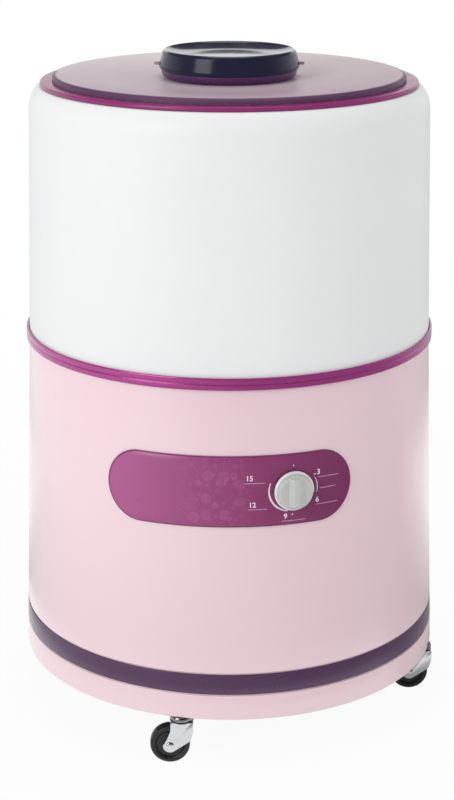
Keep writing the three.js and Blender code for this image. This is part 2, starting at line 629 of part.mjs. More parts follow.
function makeTimerBody() {
  const half = TIMER_BODY_WIDTH / 2;
  const box = solid(slab(rectangle(-half, half, -TIMER_BODY_HEIGHT / 2, TIMER_BODY_HEIGHT / 2),
    -TIMER_BODY_DEPTH, 0));
  const bushTop = skirtRadius(TIMER_HEIGHT) - TIMER_FACE + PLATE_THICKNESS - TIMER_BUSH_LENGTH;
  const bush = ring(0, TIMER_BUSH_RADIUS, -TIMER_BUSH_LENGTH, bushTop, SMALL_SEGMENTS);
  const bore = ring(0, TIMER_SHAFT_RADIUS + FIT_GAP, -TIMER_BODY_DEPTH / 2, bushTop + CUT_OVERRUN,
    SMALL_SEGMENTS);
  return box.add(bush).subtract(bore);
}

function makeTimerShaft() {
  const knobTop = KNOB_BACK - TIMER_FACE + KNOB_HEIGHT - KNOB_EDGE;
  return ring(0, TIMER_SHAFT_RADIUS, FIT_GAP - TIMER_BODY_DEPTH / 2, knobTop - FIT_GAP, SMALL_SEGMENTS);
}

function makeKnob() {
  const crown = solid(turned([
    [0, 0],
    [KNOB_RADIUS, 0],
    [KNOB_RADIUS, KNOB_SKIRT_HEIGHT - RUNNING_GAP],
    [KNOB_RADIUS - RUNNING_GAP, KNOB_SKIRT_HEIGHT],
    [KNOB_CROWN_RADIUS, KNOB_SKIRT_HEIGHT],
    [KNOB_CROWN_RADIUS - KNOB_EDGE / 2, KNOB_HEIGHT - KNOB_EDGE / 2],
    [KNOB_CROWN_RADIUS - KNOB_EDGE, KNOB_HEIGHT],
    [0, KNOB_HEIGHT],
  ], MIDDLE_SEGMENTS));
  const foot = KNOB_RIDGE_FOOT / 2;
  const crest = KNOB_RIDGE_CREST / 2;
  const ridge = slab([
    [-foot, KNOB_HEIGHT - KNOB_EDGE],
    [foot, KNOB_HEIGHT - KNOB_EDGE],
    [foot, KNOB_HEIGHT],
    [crest, KNOB_HEIGHT + KNOB_RIDGE_HEIGHT],
    [-crest, KNOB_HEIGHT + KNOB_RIDGE_HEIGHT],
    [-foot, KNOB_HEIGHT],
  ], -KNOB_RIDGE_LENGTH / 2, KNOB_RIDGE_LENGTH / 2);
  ridge.rotateX(QUARTER_TURN);
  const notch = slab(rectangle(KNOB_RADIUS - KNOB_NOTCH_DEPTH, KNOB_RADIUS + CUT_OVERRUN,
    -KNOB_NOTCH_WIDTH / 2, KNOB_NOTCH_WIDTH / 2), -CUT_OVERRUN, KNOB_SKIRT_HEIGHT + CUT_OVERRUN);
  notch.rotateZ(KNOB_NOTCH_ANGLE);
  const bore = ring(0, TIMER_SHAFT_RADIUS + FIT_GAP, -CUT_OVERRUN, KNOB_HEIGHT - KNOB_EDGE, SMALL_SEGMENTS);
  return crown.add(solid(ridge)).subtract(solid(notch)).subtract(bore);
}

function makeControls() {
  const timer = new THREE.Group();
  timer.applyMatrix4(facing(TIMER_AZIMUTH, TIMER_FACE, TIMER_HEIGHT));
  const knob = piece('timer_knob', makeKnob(), greyPlastic);
  knob.position.z = KNOB_BACK - TIMER_FACE;
  timer.add(
    piece('timer_body', makeTimerBody(), blackPlastic),
    piece('timer_shaft', makeTimerShaft(), zincSteel),
    knob,
  );
  return [piece('control_plate', makeControlPlate(), magentaPlastic), timer];
}

// Bell-shaped agitator with upright vanes, open below
function agitatorOutline(inset) {
  const bottom = AGITATOR_BOTTOM;
  return [
    [0, bottom - (inset ? CUT_OVERRUN : 0)],
    [AGITATOR_RADIUS - inset, bottom - (inset ? CUT_OVERRUN : 0)],
    [AGITATOR_RADIUS - inset, bottom + AGITATOR_LIP - inset],
    [AGITATOR_SLOPE_RADIUS - inset, bottom + AGITATOR_SLOPE_HEIGHT - inset],
    [AGITATOR_NECK_RADIUS - inset, bottom + AGITATOR_NECK_HEIGHT - inset],
    [AGITATOR_TOP_RADIUS - inset, AGITATOR_TOP - inset],
    [0, AGITATOR_TOP - inset],
  ];
}

function makeAgitator() {
  let body = solid(turned(agitatorOutline(0), BODY_SEGMENTS));
  const root = AGITATOR_TOP_RADIUS / 2;
  const foot = AGITATOR_BOTTOM + AGITATOR_LIP / 2;
  const edge = arc(AGITATOR_TOP_RADIUS, foot, VANE_REACH - AGITATOR_TOP_RADIUS, VANE_HEIGHT,
    0, QUARTER_TURN, SHOULDER_STEPS);
  const outline = [[root, foot], ...edge, [root, foot + VANE_HEIGHT]];
  for (let i = 0; i < VANE_COUNT; i += 1) {
    const vane = slab(outline, -VANE_THICKNESS / 2, VANE_THICKNESS / 2);
    vane.rotateX(QUARTER_TURN);
    vane.rotateZ((FULL_TURN * i) / VANE_COUNT);
    body = body.add(solid(vane));
  }
  const hollow = solid(turned(agitatorOutline(AGITATOR_WALL), BODY_SEGMENTS));
  const hub = ring(SHAFT_RADIUS + FIT_GAP, AGITATOR_HUB_RADIUS,
    AGITATOR_TOP - AGITATOR_HUB_LENGTH, AGITATOR_TOP - AGITATOR_WALL / 2, ROUND_SEGMENTS);
  const hole = ring(0, BOLT_RADIUS + FIT_GAP, AGITATOR_TOP - AGITATOR_WALL - CUT_OVERRUN,
    AGITATOR_TOP + CUT_OVERRUN, SMALL_SEGMENTS);
  const shaftRoom = ring(0, SHAFT_RADIUS + FIT_GAP, AGITATOR_BOTTOM, AGITATOR_TOP - AGITATOR_WALL,
    ROUND_SEGMENTS);
  return body.subtract(hollow).add(hub).subtract(shaftRoom).subtract(hole);
}

function makeAgitatorCap() {
  const bottom = AGITATOR_TOP + FIT_GAP;
  const inner = AGITATOR_TOP_RADIUS - CAP_WALL;
  return solid(turned([
    ...arc(0, bottom, AGITATOR_TOP_RADIUS, CAP_HEIGHT, 0, QUARTER_TURN, SHOULDER_STEPS)
      .slice(0, SHOULDER_STEPS),
    [0, bottom + CAP_HEIGHT],
    [0, bottom + CAP_HEIGHT - CAP_WALL],
    ...arc(0, bottom, inner, CAP_HEIGHT - CAP_WALL, QUARTER_TURN, 0, SHOULDER_STEPS).slice(1),
  ], MIDDLE_SEGMENTS));
}

function makeAgitatorBolt() {
  const seat = AGITATOR_TOP + FIT_GAP;
  return solid(turned([
    [0, seat - BOLT_LENGTH],
    [BOLT_RADIUS, seat - BOLT_LENGTH],
    [BOLT_RADIUS, seat],
    [BOLT_HEAD_RADIUS, seat],
    [BOLT_HEAD_RADIUS, seat + BOLT_HEAD_HEIGHT],
    [0, seat + BOLT_HEAD_HEIGHT],
  ], SMALL_SEGMENTS));
}

function makeAgitatorShaft() {
  const top = AGITATOR_TOP - AGITATOR_WALL - FIT_GAP;
  const bottom = DRIVE_TOP - DRIVE_SOCKET_DEPTH + FIT_GAP;
  const thread = ring(0, BOLT_RADIUS + FIT_GAP, AGITATOR_TOP - BOLT_LENGTH - FIT_GAP, top + CUT_OVERRUN,
    SMALL_SEGMENTS);
  return ring(0, SHAFT_RADIUS, bottom, top, ROUND_SEGMENTS).subtract(thread);
}

function makeShaftSeal() {
  const inner = SHAFT_RADIUS + FIT_GAP;
  return solid(turned([
    [inner, TUB_FLOOR_HEIGHT],
    [TUB_BORE_RADIUS - FIT_GAP, TUB_FLOOR_HEIGHT],
    [TUB_BORE_RADIUS - FIT_GAP, TUB_INNER_FLOOR + FIT_GAP],
    [SEAL_LIP_RADIUS, TUB_INNER_FLOOR + FIT_GAP],
    [SEAL_LIP_RADIUS, TUB_INNER_FLOOR + FIT_GAP + SEAL_LIP_HEIGHT / 2],
    [SEAL_RIDGE_RADIUS, TUB_INNER_FLOOR + FIT_GAP + SEAL_LIP_HEIGHT],
    [inner, TUB_INNER_FLOOR + FIT_GAP + SEAL_LIP_HEIGHT],
  ], ROUND_SEGMENTS));
}

// Steel plate under the tub's floor that carries the gearbox and the motor
function makeDriveBracket() {
  const half = BRACKET_WIDTH / 2;
  const back = MOTOR_OFFSET + MOTOR_BELL_RADIUS;
  const plate = slab(roundedRectangle(-half, half, -BRACKET_FRONT, back,
    BRACKET_CORNER, BRACKET_CORNER, CORNER_STEPS), BRACKET_BOTTOM, BRACKET_TOP);
  const hole = ring(0, SHAFT_RADIUS + RUNNING_GAP, BRACKET_BOTTOM - CUT_OVERRUN, BRACKET_TOP + CUT_OVERRUN,
    ROUND_SEGMENTS);
  return solid(plate).subtract(hole);
}

function makeGearbox() {
  const nose = GEARBOX_BOTTOM - GEARBOX_NOSE_HEIGHT;
  const socket = SHAFT_RADIUS + FIT_GAP;
  const housing = solid(turned([
    [0, nose],
    [GEARBOX_NOSE_RADIUS, nose],
    [GEARBOX_NOSE_RADIUS, GEARBOX_BOTTOM],
    [GEARBOX_RADIUS, GEARBOX_BOTTOM],
    [GEARBOX_RADIUS, DRIVE_TOP - GEARBOX_FLANGE_HEIGHT],
    [GEARBOX_FLANGE_RADIUS, DRIVE_TOP - GEARBOX_FLANGE_HEIGHT],
    [GEARBOX_FLANGE_RADIUS, DRIVE_TOP],
    [0, DRIVE_TOP],
  ], ROUND_SEGMENTS));
  return housing
    .subtract(ring(0, socket, DRIVE_TOP - DRIVE_SOCKET_DEPTH, DRIVE_TOP + CUT_OVERRUN, ROUND_SEGMENTS))
    .subtract(ring(0, socket, nose - CUT_OVERRUN, nose + DRIVE_SOCKET_DEPTH, ROUND_SEGMENTS));
}

// Grooved pulley outline round a bore; the rim is wider than the web
function pulleyOutline(bore, hub, outer) {
  const groove = outer - PULLEY_GROOVE_DEPTH;
  const top = PULLEY_TOP;
  const bottom = PULLEY_TOP - PULLEY_WIDTH;
  const rim = groove - PULLEY_RIM;
  const outside = [
    [outer, bottom],
    [outer, bottom + (PULLEY_WIDTH - PULLEY_GROOVE_WIDTH) / 2],
    [groove, PULLEY_MIDDLE - PULLEY_GROOVE_WIDTH / 2 + RUNNING_GAP / 2],
    [groove, PULLEY_MIDDLE + PULLEY_GROOVE_WIDTH / 2 - RUNNING_GAP / 2],
    [outer, top - (PULLEY_WIDTH - PULLEY_GROOVE_WIDTH) / 2],
    [outer, top],
  ];
  if (rim <= hub) return [[bore, bottom], ...outside, [bore, top]];
  const web = PULLEY_WEB / 2;
  return [
    [bore, bottom], [hub, bottom], [hub, PULLEY_MIDDLE - web], [rim, PULLEY_MIDDLE - web], [rim, bottom],
    ...outside,
    [rim, top], [rim, PULLEY_MIDDLE + web], [hub, PULLEY_MIDDLE + web], [hub, top], [bore, top],
  ];
}

// The large pulley is one piece with the stub that turns in the gearbox
function makeDrivenPulley() {
  const stubTop = GEARBOX_BOTTOM - GEARBOX_NOSE_HEIGHT + DRIVE_SOCKET_DEPTH - FIT_GAP;
  const stub = ring(0, SHAFT_RADIUS, PULLEY_TOP - PULLEY_WIDTH, stubTop, ROUND_SEGMENTS);
  const outline = pulleyOutline(SHAFT_RADIUS / 2, DRIVEN_HUB_RADIUS, DRIVEN_PULLEY_RADIUS);
  return solid(turned(outline, MIDDLE_SEGMENTS)).add(stub);
}

function makeMotorBody() {
  const bottom = DRIVE_TOP - MOTOR_HEIGHT;
  const bell = MOTOR_BELL_HEIGHT;
  const body = solid(turned([
    [0, bottom],
    [MOTOR_BELL_RADIUS, bottom],
    [MOTOR_RADIUS, bottom + bell],
    [MOTOR_RADIUS, DRIVE_TOP - bell],
    [MOTOR_BELL_RADIUS, DRIVE_TOP],
    [0, DRIVE_TOP],
  ], ROUND_SEGMENTS));
  return body.subtract(ring(0, MOTOR_SHAFT_RADIUS + FIT_GAP, bottom - CUT_OVERRUN,
    bottom + DRIVE_SOCKET_DEPTH, SMALL_SEGMENTS));
}

function makeMotorShaft() {
  return ring(0, MOTOR_SHAFT_RADIUS, PULLEY_TOP - PULLEY_WIDTH - CLIP_WALL,
    DRIVE_TOP - MOTOR_HEIGHT + DRIVE_SOCKET_DEPTH - FIT_GAP, SMALL_SEGMENTS);
}

// Closed loop of two arcs and their outer tangents, round both pulleys
function loopOutline(smallRadius, largeRadius) {
  const lean = Math.asin((largeRadius - smallRadius) / MOTOR_OFFSET);
  return [
    ...arc(0, 0, largeRadius, largeRadius, HALF_TURN - lean, FULL_TURN + lean, ROUND_SEGMENTS),
    ...arc(0, MOTOR_OFFSET, smallRadius, smallRadius, lean, HALF_TURN - lean, BEND_STEPS),
  ];
}

function makeDriveBelt() {
  const inset = PULLEY_GROOVE_DEPTH - RUNNING_GAP;
  const small = MOTOR_PULLEY_RADIUS - inset;
  const large = DRIVEN_PULLEY_RADIUS - inset;
  const bottom = PULLEY_MIDDLE - DRIVE_BELT_WIDTH / 2;
  const top = PULLEY_MIDDLE + DRIVE_BELT_WIDTH / 2;
  const outside = slab(loopOutline(small + DRIVE_BELT_THICKNESS, large + DRIVE_BELT_THICKNESS), bottom, top);
  const inside = slab(loopOutline(small, large), bottom - CUT_OVERRUN, top + CUT_OVERRUN);
  return solid(outside).subtract(solid(inside));
}

function makeDrive() {
  const motor = new THREE.Group();
  motor.position.y = MOTOR_OFFSET;
  const pulleyBore = MOTOR_SHAFT_RADIUS + FIT_GAP;
  motor.add(
    piece('motor_body', makeMotorBody(), paintedSteel),
    piece('motor_shaft', makeMotorShaft(), zincSteel),
    piece('motor_pulley', solid(turned(pulleyOutline(pulleyBore, MOTOR_PULLEY_RADIUS, MOTOR_PULLEY_RADIUS),
      ROUND_SEGMENTS)), castAlloy),
  );
  const drive = new THREE.Group();
  drive.rotation.z = MOTOR_AZIMUTH - HALF_TURN;
  drive.add(
    piece('drive_bracket', makeDriveBracket(), zincSteel),
    piece('gearbox_housing', makeGearbox(), castAlloy),
    piece('driven_pulley', makeDrivenPulley(), castAlloy),
    piece('drive_belt', makeDriveBelt(), blackRubber),
    motor,
  );
  return drive;
}

function makeCapacitorParts() {
  const group = new THREE.Group();
  const [x, y] = placeAt(CAPACITOR_AZIMUTH, CAPACITOR_DISTANCE);
  group.position.set(x, y, BASE_TOP + FIT_GAP);
  const can = solid(turned([
    [0, CLIP_WALL + FIT_GAP],
    [CAPACITOR_RADIUS, CLIP_WALL + FIT_GAP],
    [CAPACITOR_RADIUS, CAPACITOR_HEIGHT],
    [0, CAPACITOR_HEIGHT],
  ], ROUND_SEGMENTS));
  const inner = CAPACITOR_RADIUS + FIT_GAP;
  const cup = solid(turned([
    [0, 0],
    [inner + CLIP_WALL, 0],
    [inner + CLIP_WALL, CLIP_HEIGHT],
    [inner, CLIP_HEIGHT],
    [inner, CLIP_WALL],
    [0, CLIP_WALL],
  ], ROUND_SEGMENTS));
  const foot = slab(rectangle(inner, inner + CLIP_FOOT_LENGTH, -CLIP_HEIGHT / 2, CLIP_HEIGHT / 2),
    0, CLIP_WALL);
  group.add(
    piece('capacitor', can, zincSteel),
    piece('capacitor_clip', cup.add(solid(foot)), blackPlastic),
  );
  return group;
}

// Down from the tub's floor, round a bend and out through the skirt
function makeDrainPipe() {
  const reach = skirtRadius(DRAIN_OUTLET_HEIGHT) + DRAIN_OUTLET_REACH - DRAIN_DISTANCE;
  const drop = TUB_FLOOR_HEIGHT - FIT_GAP - DRAIN_OUTLET_HEIGHT;
  const path = new THREE.CurvePath();
  const corner = new THREE.Vector3(0, 0, 0);
  const above = new THREE.Vector3(0, DRAIN_TURN_RADIUS, 0);
  const beside = new THREE.Vector3(0, 0, DRAIN_TURN_RADIUS);
  path.add(new THREE.LineCurve3(new THREE.Vector3(0, drop, 0), above));
  path.add(new THREE.QuadraticBezierCurve3(above, corner, beside));
  path.add(new THREE.LineCurve3(beside, new THREE.Vector3(0, 0, reach)));
  const section = (radius) => new THREE.Shape(arc(0, 0, radius, radius, 0, FULL_TURN, PIPE_SIDES)
    .slice(1).map(([x, y]) => new THREE.Vector2(x, y)));
  const tube = section(DRAIN_TUBE_RADIUS);
  tube.holes.push(section(DRAIN_BORE_RADIUS));
  const geometry = new THREE.ExtrudeGeometry(tube, { steps: BEND_STEPS, extrudePath: path });
  geometry.applyMatrix4(facing(DRAIN_AZIMUTH, DRAIN_DISTANCE, DRAIN_OUTLET_HEIGHT));
  return solid(geometry);
}

// Slotted disc over the drain hole in the tub's floor
function makeStrainer() {
  const bottom = TUB_INNER_FLOOR + FIT_GAP;
  let disc = ring(0, STRAINER_RADIUS, bottom, bottom + STRAINER_HEIGHT, ROUND_SEGMENTS);
  for (let i = -1; i <= 1; i += 1) {
    const x = i * STRAINER_SLOT_PITCH;
    disc = disc.subtract(solid(slab(rectangle(x - STRAINER_SLOT_WIDTH / 2, x + STRAINER_SLOT_WIDTH / 2,
      -STRAINER_SLOT_LENGTH / 2, STRAINER_SLOT_LENGTH / 2), bottom - CUT_OVERRUN,
    bottom + STRAINER_HEIGHT + CUT_OVERRUN)));
  }
  return disc;
}

function makeGland() {
  return turned([
    [GLAND_BORE_RADIUS, -GLAND_TAIL_LENGTH],
    [GLAND_RADIUS, -GLAND_TAIL_LENGTH],
    [GLAND_RADIUS, RUNNING_GAP],
    [GLAND_HEAD_RADIUS, RUNNING_GAP],
    [GLAND_HEAD_RADIUS - RUNNING_GAP, GLAND_HEAD_LENGTH],
    [GLAND_BORE_RADIUS, GLAND_HEAD_LENGTH],
  ], SMALL_SEGMENTS);
}

function makeServices() {
  const [x, y] = placeAt(DRAIN_AZIMUTH, DRAIN_DISTANCE);
  const strainer = piece('drain_strainer', makeStrainer(), greyPlastic);
  strainer.position.set(x, y, 0);
  const gland = makeGland();
  gland.applyMatrix4(facing(GLAND_AZIMUTH, skirtRadius(GLAND_HEIGHT), GLAND_HEIGHT));
  return [
    piece('drain_pipe', makeDrainPipe(), blackPlastic),
    strainer,
    piece('cord_gland', solid(gland), blackPlastic),
  ];
}

// Pan that closes the skirt's foot and carries the four casters
function makeBaseFrame() {
  const inside = (height) => skirtRadius(height) - SKIRT_WALL - FIT_GAP;
  const flangeTop = FOOT_HEIGHT + BASE_FLANGE_HEIGHT;
  const bossTop = FOOT_HEIGHT + BASE_BOSS_HEIGHT;
  const room = solid(turned([
    [0, FOOT_HEIGHT],
    [inside(FOOT_HEIGHT), FOOT_HEIGHT],
    [inside(bossTop), bossTop],
    [0, bossTop],
  ], BODY_SEGMENTS));
  let pan = solid(turned([
    [BASE_HOLE_RADIUS, FOOT_HEIGHT],
    [inside(FOOT_HEIGHT), FOOT_HEIGHT],
    [inside(flangeTop), flangeTop],
    [inside(flangeTop) - SKIRT_WALL, flangeTop],
    [inside(BASE_TOP) - SKIRT_WALL, BASE_TOP],
    [BASE_HOLE_RADIUS + BASE_THICKNESS, BASE_TOP],
    [BASE_HOLE_RADIUS + BASE_THICKNESS, BASE_TOP + BASE_LIP_HEIGHT],
    [BASE_HOLE_RADIUS, BASE_TOP + BASE_LIP_HEIGHT],
  ], BODY_SEGMENTS));
  for (const degrees of Object.values(CASTER_AZIMUTHS)) {
    const [x, y] = placeAt(degrees * DEGREE, CASTER_CIRCLE_RADIUS);
    pan = pan
      .add(floorHole(BASE_BOSS_RADIUS, x, y, FOOT_HEIGHT, bossTop).intersect(room))
      .subtract(floorHole(STEM_RADIUS + FIT_GAP, x, y, FOOT_HEIGHT - CUT_OVERRUN,
        bossTop + CUT_OVERRUN));
  }
  return pan;
}

// Stem and swivel cup in one, fixed to the base
function makeCasterStem() {
  const top = FOOT_HEIGHT - FIT_GAP;
  const bottom = top - CUP_HEIGHT;
  return solid(turned([
    [0, bottom],
    [CUP_RADIUS - CUP_EDGE, bottom],
    [CUP_RADIUS, bottom + CUP_EDGE],
    [CUP_RADIUS, top],
    [STEM_RADIUS, top],
    [STEM_RADIUS, top + STEM_LENGTH],
    [0, top + STEM_LENGTH],
  ], ROUND_SEGMENTS));
}

const FORK_TOP = FOOT_HEIGHT - FIT_GAP - CUP_HEIGHT - FIT_GAP;

// Folded fork: a head under the cup and two legs that lean back to the axle
function makeCasterFork() {
  const headBottom = FORK_TOP - FORK_TOP_THICKNESS;
  const half = FORK_HEAD_WIDTH / 2;
  const rear = -CUP_RADIUS + CUP_EDGE / 2;
  const round = ring(0, CUP_RADIUS, headBottom, FORK_TOP, ROUND_SEGMENTS);
  const head = solid(slab(rectangle(rear, CUP_RADIUS, -half, half), headBottom, FORK_TOP));
  const eye = FORK_EYE_RADIUS;
  const leg = [
    [CUP_RADIUS, FORK_TOP],
    [rear, FORK_TOP],
    [rear, FORK_TOP - FORK_SHOULDER_HEIGHT],
    [rear - eye / 2, WHEEL_RADIUS + eye],
    ...arc(-FORK_TRAIL, WHEEL_RADIUS, eye, eye, HALF_TURN, FULL_TURN + FORK_EYE_END, SHOULDER_STEPS),
    [CUP_RADIUS - FORK_TOE_INSET, WHEEL_RADIUS + FORK_TOE_HEIGHT],
    [CUP_RADIUS - FORK_WAIST_INSET, WHEEL_RADIUS + FORK_WAIST_HEIGHT],
  ];
  const reach = half + CUT_OVERRUN;
  const hole = turned(ringOutline(0, AXLE_RADIUS + FIT_GAP, -reach, reach), SMALL_SEGMENTS);
  hole.rotateX(QUARTER_TURN);
  hole.translate(-FORK_TRAIL, 0, WHEEL_RADIUS);
  let fork = round.add(head);
  for (const side of [-1, 1]) {
    const plate = slab(leg, 0, FORK_WALL);
    plate.rotateX(QUARTER_TURN);
    plate.translate(0, side > 0 ? half : FORK_WALL - half, 0);
    fork = fork.add(solid(plate));
  }
  return fork.subtract(solid(hole));
}

function makeCasterAxle() {
  const shank = FORK_HEAD_WIDTH / 2 + FIT_GAP;
  const end = shank + AXLE_HEAD_THICKNESS;
  return turned([
    [0, -end],
    [AXLE_HEAD_RADIUS, -end],
    [AXLE_HEAD_RADIUS, -shank],
    [AXLE_RADIUS, -shank],
    [AXLE_RADIUS, shank],
    [AXLE_HEAD_RADIUS, shank],
    [AXLE_HEAD_RADIUS, end],
    [0, end],
  ], SMALL_SEGMENTS);
}

function makeCasterWheel() {
  const half = WHEEL_WIDTH / 2;
  const bore = AXLE_RADIUS + FIT_GAP;
  const side = [
    [bore, half],
    [WHEEL_RADIUS - WHEEL_CROWN_DEPTH, half],
    [WHEEL_RADIUS, half - WHEEL_CROWN_WIDTH],
  ];
  const mirrored = side.map(([radius, width]) => [radius, -width]).reverse();
  return turned([...side, ...mirrored], ROUND_SEGMENTS);
}

// A piece turned about the axle's line
function onAxle(name, geometry, material) {
  geometry.rotateX(QUARTER_TURN);
  geometry.translate(-FORK_TRAIL, 0, WHEEL_RADIUS);
  return piece(name, solid(geometry), material);
}

function makeCaster(place) {
  const caster = new THREE.Group();
  const [x, y] = placeAt(CASTER_AZIMUTHS[place] * DEGREE, CASTER_CIRCLE_RADIUS);
  caster.position.set(x, y, 0);
  caster.rotation.z = CASTER_HEADINGS[place] * DEGREE;
  caster.add(
    piece(`${place}_caster_stem`, makeCasterStem(), darkSteel),
    piece(`${place}_caster_fork`, makeCasterFork(), zincSteel),
    onAxle(`${place}_caster_axle`, makeCasterAxle(), zincSteel),
    onAxle(`${place}_caster_wheel`, makeCasterWheel(), blackRubber),
  );
  return caster;
}

const washer = new THREE.Group();
washer.name = 'round_washing_machine';
washer.add(
  piece('tub', makeTub(), whitePlastic),
  piece('skirt', makeSkirt(), pinkPlastic),
  piece('stripe_band', makeStripeBand(), purplePlastic),
  piece('belt_trim', makeBeltTrim(), magentaPlastic),
  piece('base_frame', makeBaseFrame(), blackPlastic),
  piece('lid_rim', makeLidRim(), magentaPlastic),
  piece('lid_panel', makeLidPanel(), smokedPlastic),
  piece('lid_handle_collar', makeCollar(), collarPlastic),
  piece('lid_handle_ring', makeHandle(), navyPlastic),
  piece('lid_handle_screw', makeHandleScrew(), zincSteel),
  ...makeControls(),
  piece('agitator', makeAgitator(), blueGreyPlastic),
  piece('agitator_cap', makeAgitatorCap(), blueGreyPlastic),
  piece('agitator_bolt', makeAgitatorBolt(), zincSteel),
  piece('agitator_shaft', makeAgitatorShaft(), zincSteel),
  piece('shaft_seal', makeShaftSeal(), blackRubber),
  makeDrive(),
  makeCapacitorParts(),
  ...makeServices(),
  ...Object.keys(CASTER_AZIMUTHS).map(makeCaster),
);

export default washer;
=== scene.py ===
import math

import bmesh
import bpy
from mathutils import Matrix, Vector


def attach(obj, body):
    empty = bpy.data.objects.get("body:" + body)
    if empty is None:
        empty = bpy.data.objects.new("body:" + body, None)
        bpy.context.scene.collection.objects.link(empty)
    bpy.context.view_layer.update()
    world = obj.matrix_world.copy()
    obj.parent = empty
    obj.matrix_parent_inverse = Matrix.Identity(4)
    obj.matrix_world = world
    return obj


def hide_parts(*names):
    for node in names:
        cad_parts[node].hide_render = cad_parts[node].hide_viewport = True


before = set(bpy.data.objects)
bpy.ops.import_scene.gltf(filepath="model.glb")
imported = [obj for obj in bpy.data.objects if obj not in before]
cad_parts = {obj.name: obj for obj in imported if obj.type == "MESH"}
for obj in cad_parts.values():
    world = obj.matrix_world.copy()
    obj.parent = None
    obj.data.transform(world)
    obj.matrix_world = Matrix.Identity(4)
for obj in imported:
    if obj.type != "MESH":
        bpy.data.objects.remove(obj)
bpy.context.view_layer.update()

# Sizes in millimetres; every mesh is brought to metres as it is made. A name that ends in _Z is a height
# above the floor, and one that ends in _R a radius.
MM = 0.001
GAP = 0.3
OVERRUN = 10

# Skirt, stripe and belt
FOOT_Z = 68
FOOT_R = 288.9
WAIST_Z = 519.5
WAIST_R = 272
SKIRT_WALL = 3
SKIRT_FLANGE = 22
STRIPE_Z = 102.5
STRIPE_WIDTH = 29.5
STRIPE_SEAM = 0.9
STRIPE_GROOVE = 1.6
STRIPE_SINK = 1.2
STRIPE_STAND = 0.2
BELT_WIDTH = 15.7
BELT_THICK = 4
BELT_LINE_DEPTH = 0.7
BELT_LINE_MOUTH = 1.2
BELT_LINE_FLOOR = 0.4
WALL_REACH = 14

# Base pan
PAN_HOLE_R = 110
PAN_WALL = 4
PAN_RIM = 3
PAN_RISE = 34
PAN_COLLAR = 16
PAN_SLOTS = 16
PAN_SLOT_IN = 185
PAN_SLOT_OUT = 235
PAN_SLOT_HALF = 4
BOSS_R = 7.5
BOSS_RISE = 28

# Tub
TUB_WALL = 3.5
TUB_SHOULDER_Z = 819.1
TUB_SHOULDER_R = 263.8
TUB_TOP_Z = 849.1
TUB_MOUTH_R = 242.8
SHOULDER_WIDE = 25
SHOULDER_HIGH = 33.3
TUB_LEDGE_R = 236
TUB_FLOOR_Z = 330
TUB_FOOT_R = 231
TUB_CORNER_R = 28
TUB_BORE_R = 22

# Lid and handle
RIM_Z = 849.4
RIM_R = 248.2
RIM_TOP_Z = 855.2
RIM_WIDE = 28
RIM_WALL = 2.5
SPIGOT_R = 239.8
SPIGOT_DEEP = 9
LID_Z = 855.5
LID_TOP_Z = 863
LID_R = 232
LID_WALL = 3
LID_EDGE_WIDE = 6.5
LID_EDGE_HIGH = 5
DISH_R = 110
DISH_Z = 857
COLLAR_Z = 857.3
COLLAR_TOP_Z = 868
COLLAR_FOOT_R = 81.8
COLLAR_TOP_R = 89.3
HANDLE_Z = 868.3
HANDLE_TOP_Z = 893.6
HANDLE_R = 92.7
HANDLE_WALL = 4
HANDLE_DRAFT = 4.3
HANDLE_LIP = 5
HANDLE_LIP_HIGH = 7
HANDLE_DISH_R = 83
HANDLE_DISH_DEPTH = 8.5
HANDLE_DISH_POWER = 6
HANDLE_SINK = 0.4
LUG_R = 98.5
LUG_HALF = 2.4
LUG_Z = HANDLE_Z + 4.7
LUG_HIGH = 3.8
SCREW_R = 4

# Control plate, timer and knob
PLATE_AZIMUTH = 0
PLATE_Z = 380.1
PLATE_WIDE = 308
PLATE_HIGH = 93.4
PLATE_END = 40
PLATE_THICK = 2
PLATE_EDGE_ROUND = 0.7
PLATE_COLUMNS = 72
PLATE_ROWS = 10
INK_THICK = 0.12
INK_LIFT = 0.03
BORDER_INSET = 0.9
BORDER_WIDE = 1.1
BORDER_SINK = 0.02
TIMER_AZIMUTH = math.radians(16.7)
TIMER_Z = 379
CASE_HALF_WIDE = 26
CASE_HALF_HIGH = 30
CASE_DEEP = 32
BUSH_R = 9
SPINDLE_R = 3
KNOB_CLEARANCE = 1
KNOB_R = 26
KNOB_CROWN_R = 23.4
KNOB_HEIGHT = 10
KNOB_BORE = 7
KNOB_RIDGE = 5
KNOB_BAR_FOOT = 12
KNOB_BAR_CREST = 3.4
KNOB_BAR_LONG = 19.4
KNOB_NOTCH = 19
KNOB_NOTCH_TURN = math.radians(-31)

# Agitator
AGITATOR_Z = 340.5
AGITATOR_TOP_Z = 660.5
AGITATOR_R = 150
BELL_FLARE = ((AGITATOR_R, 5), (118, 15), (78, 36), (61, 60), (50, 95), (44.5, 200))
BELL_TOP_R = 40
BELL_WALL = 4
CAP_HIGH = 30
CAP_WALL = 3
VANE_COUNT = 3
VANE_REACH = 98
VANE_RISE = 190
VANE_THICK = 7
HUB_R = 16
SHAFT_R = 9

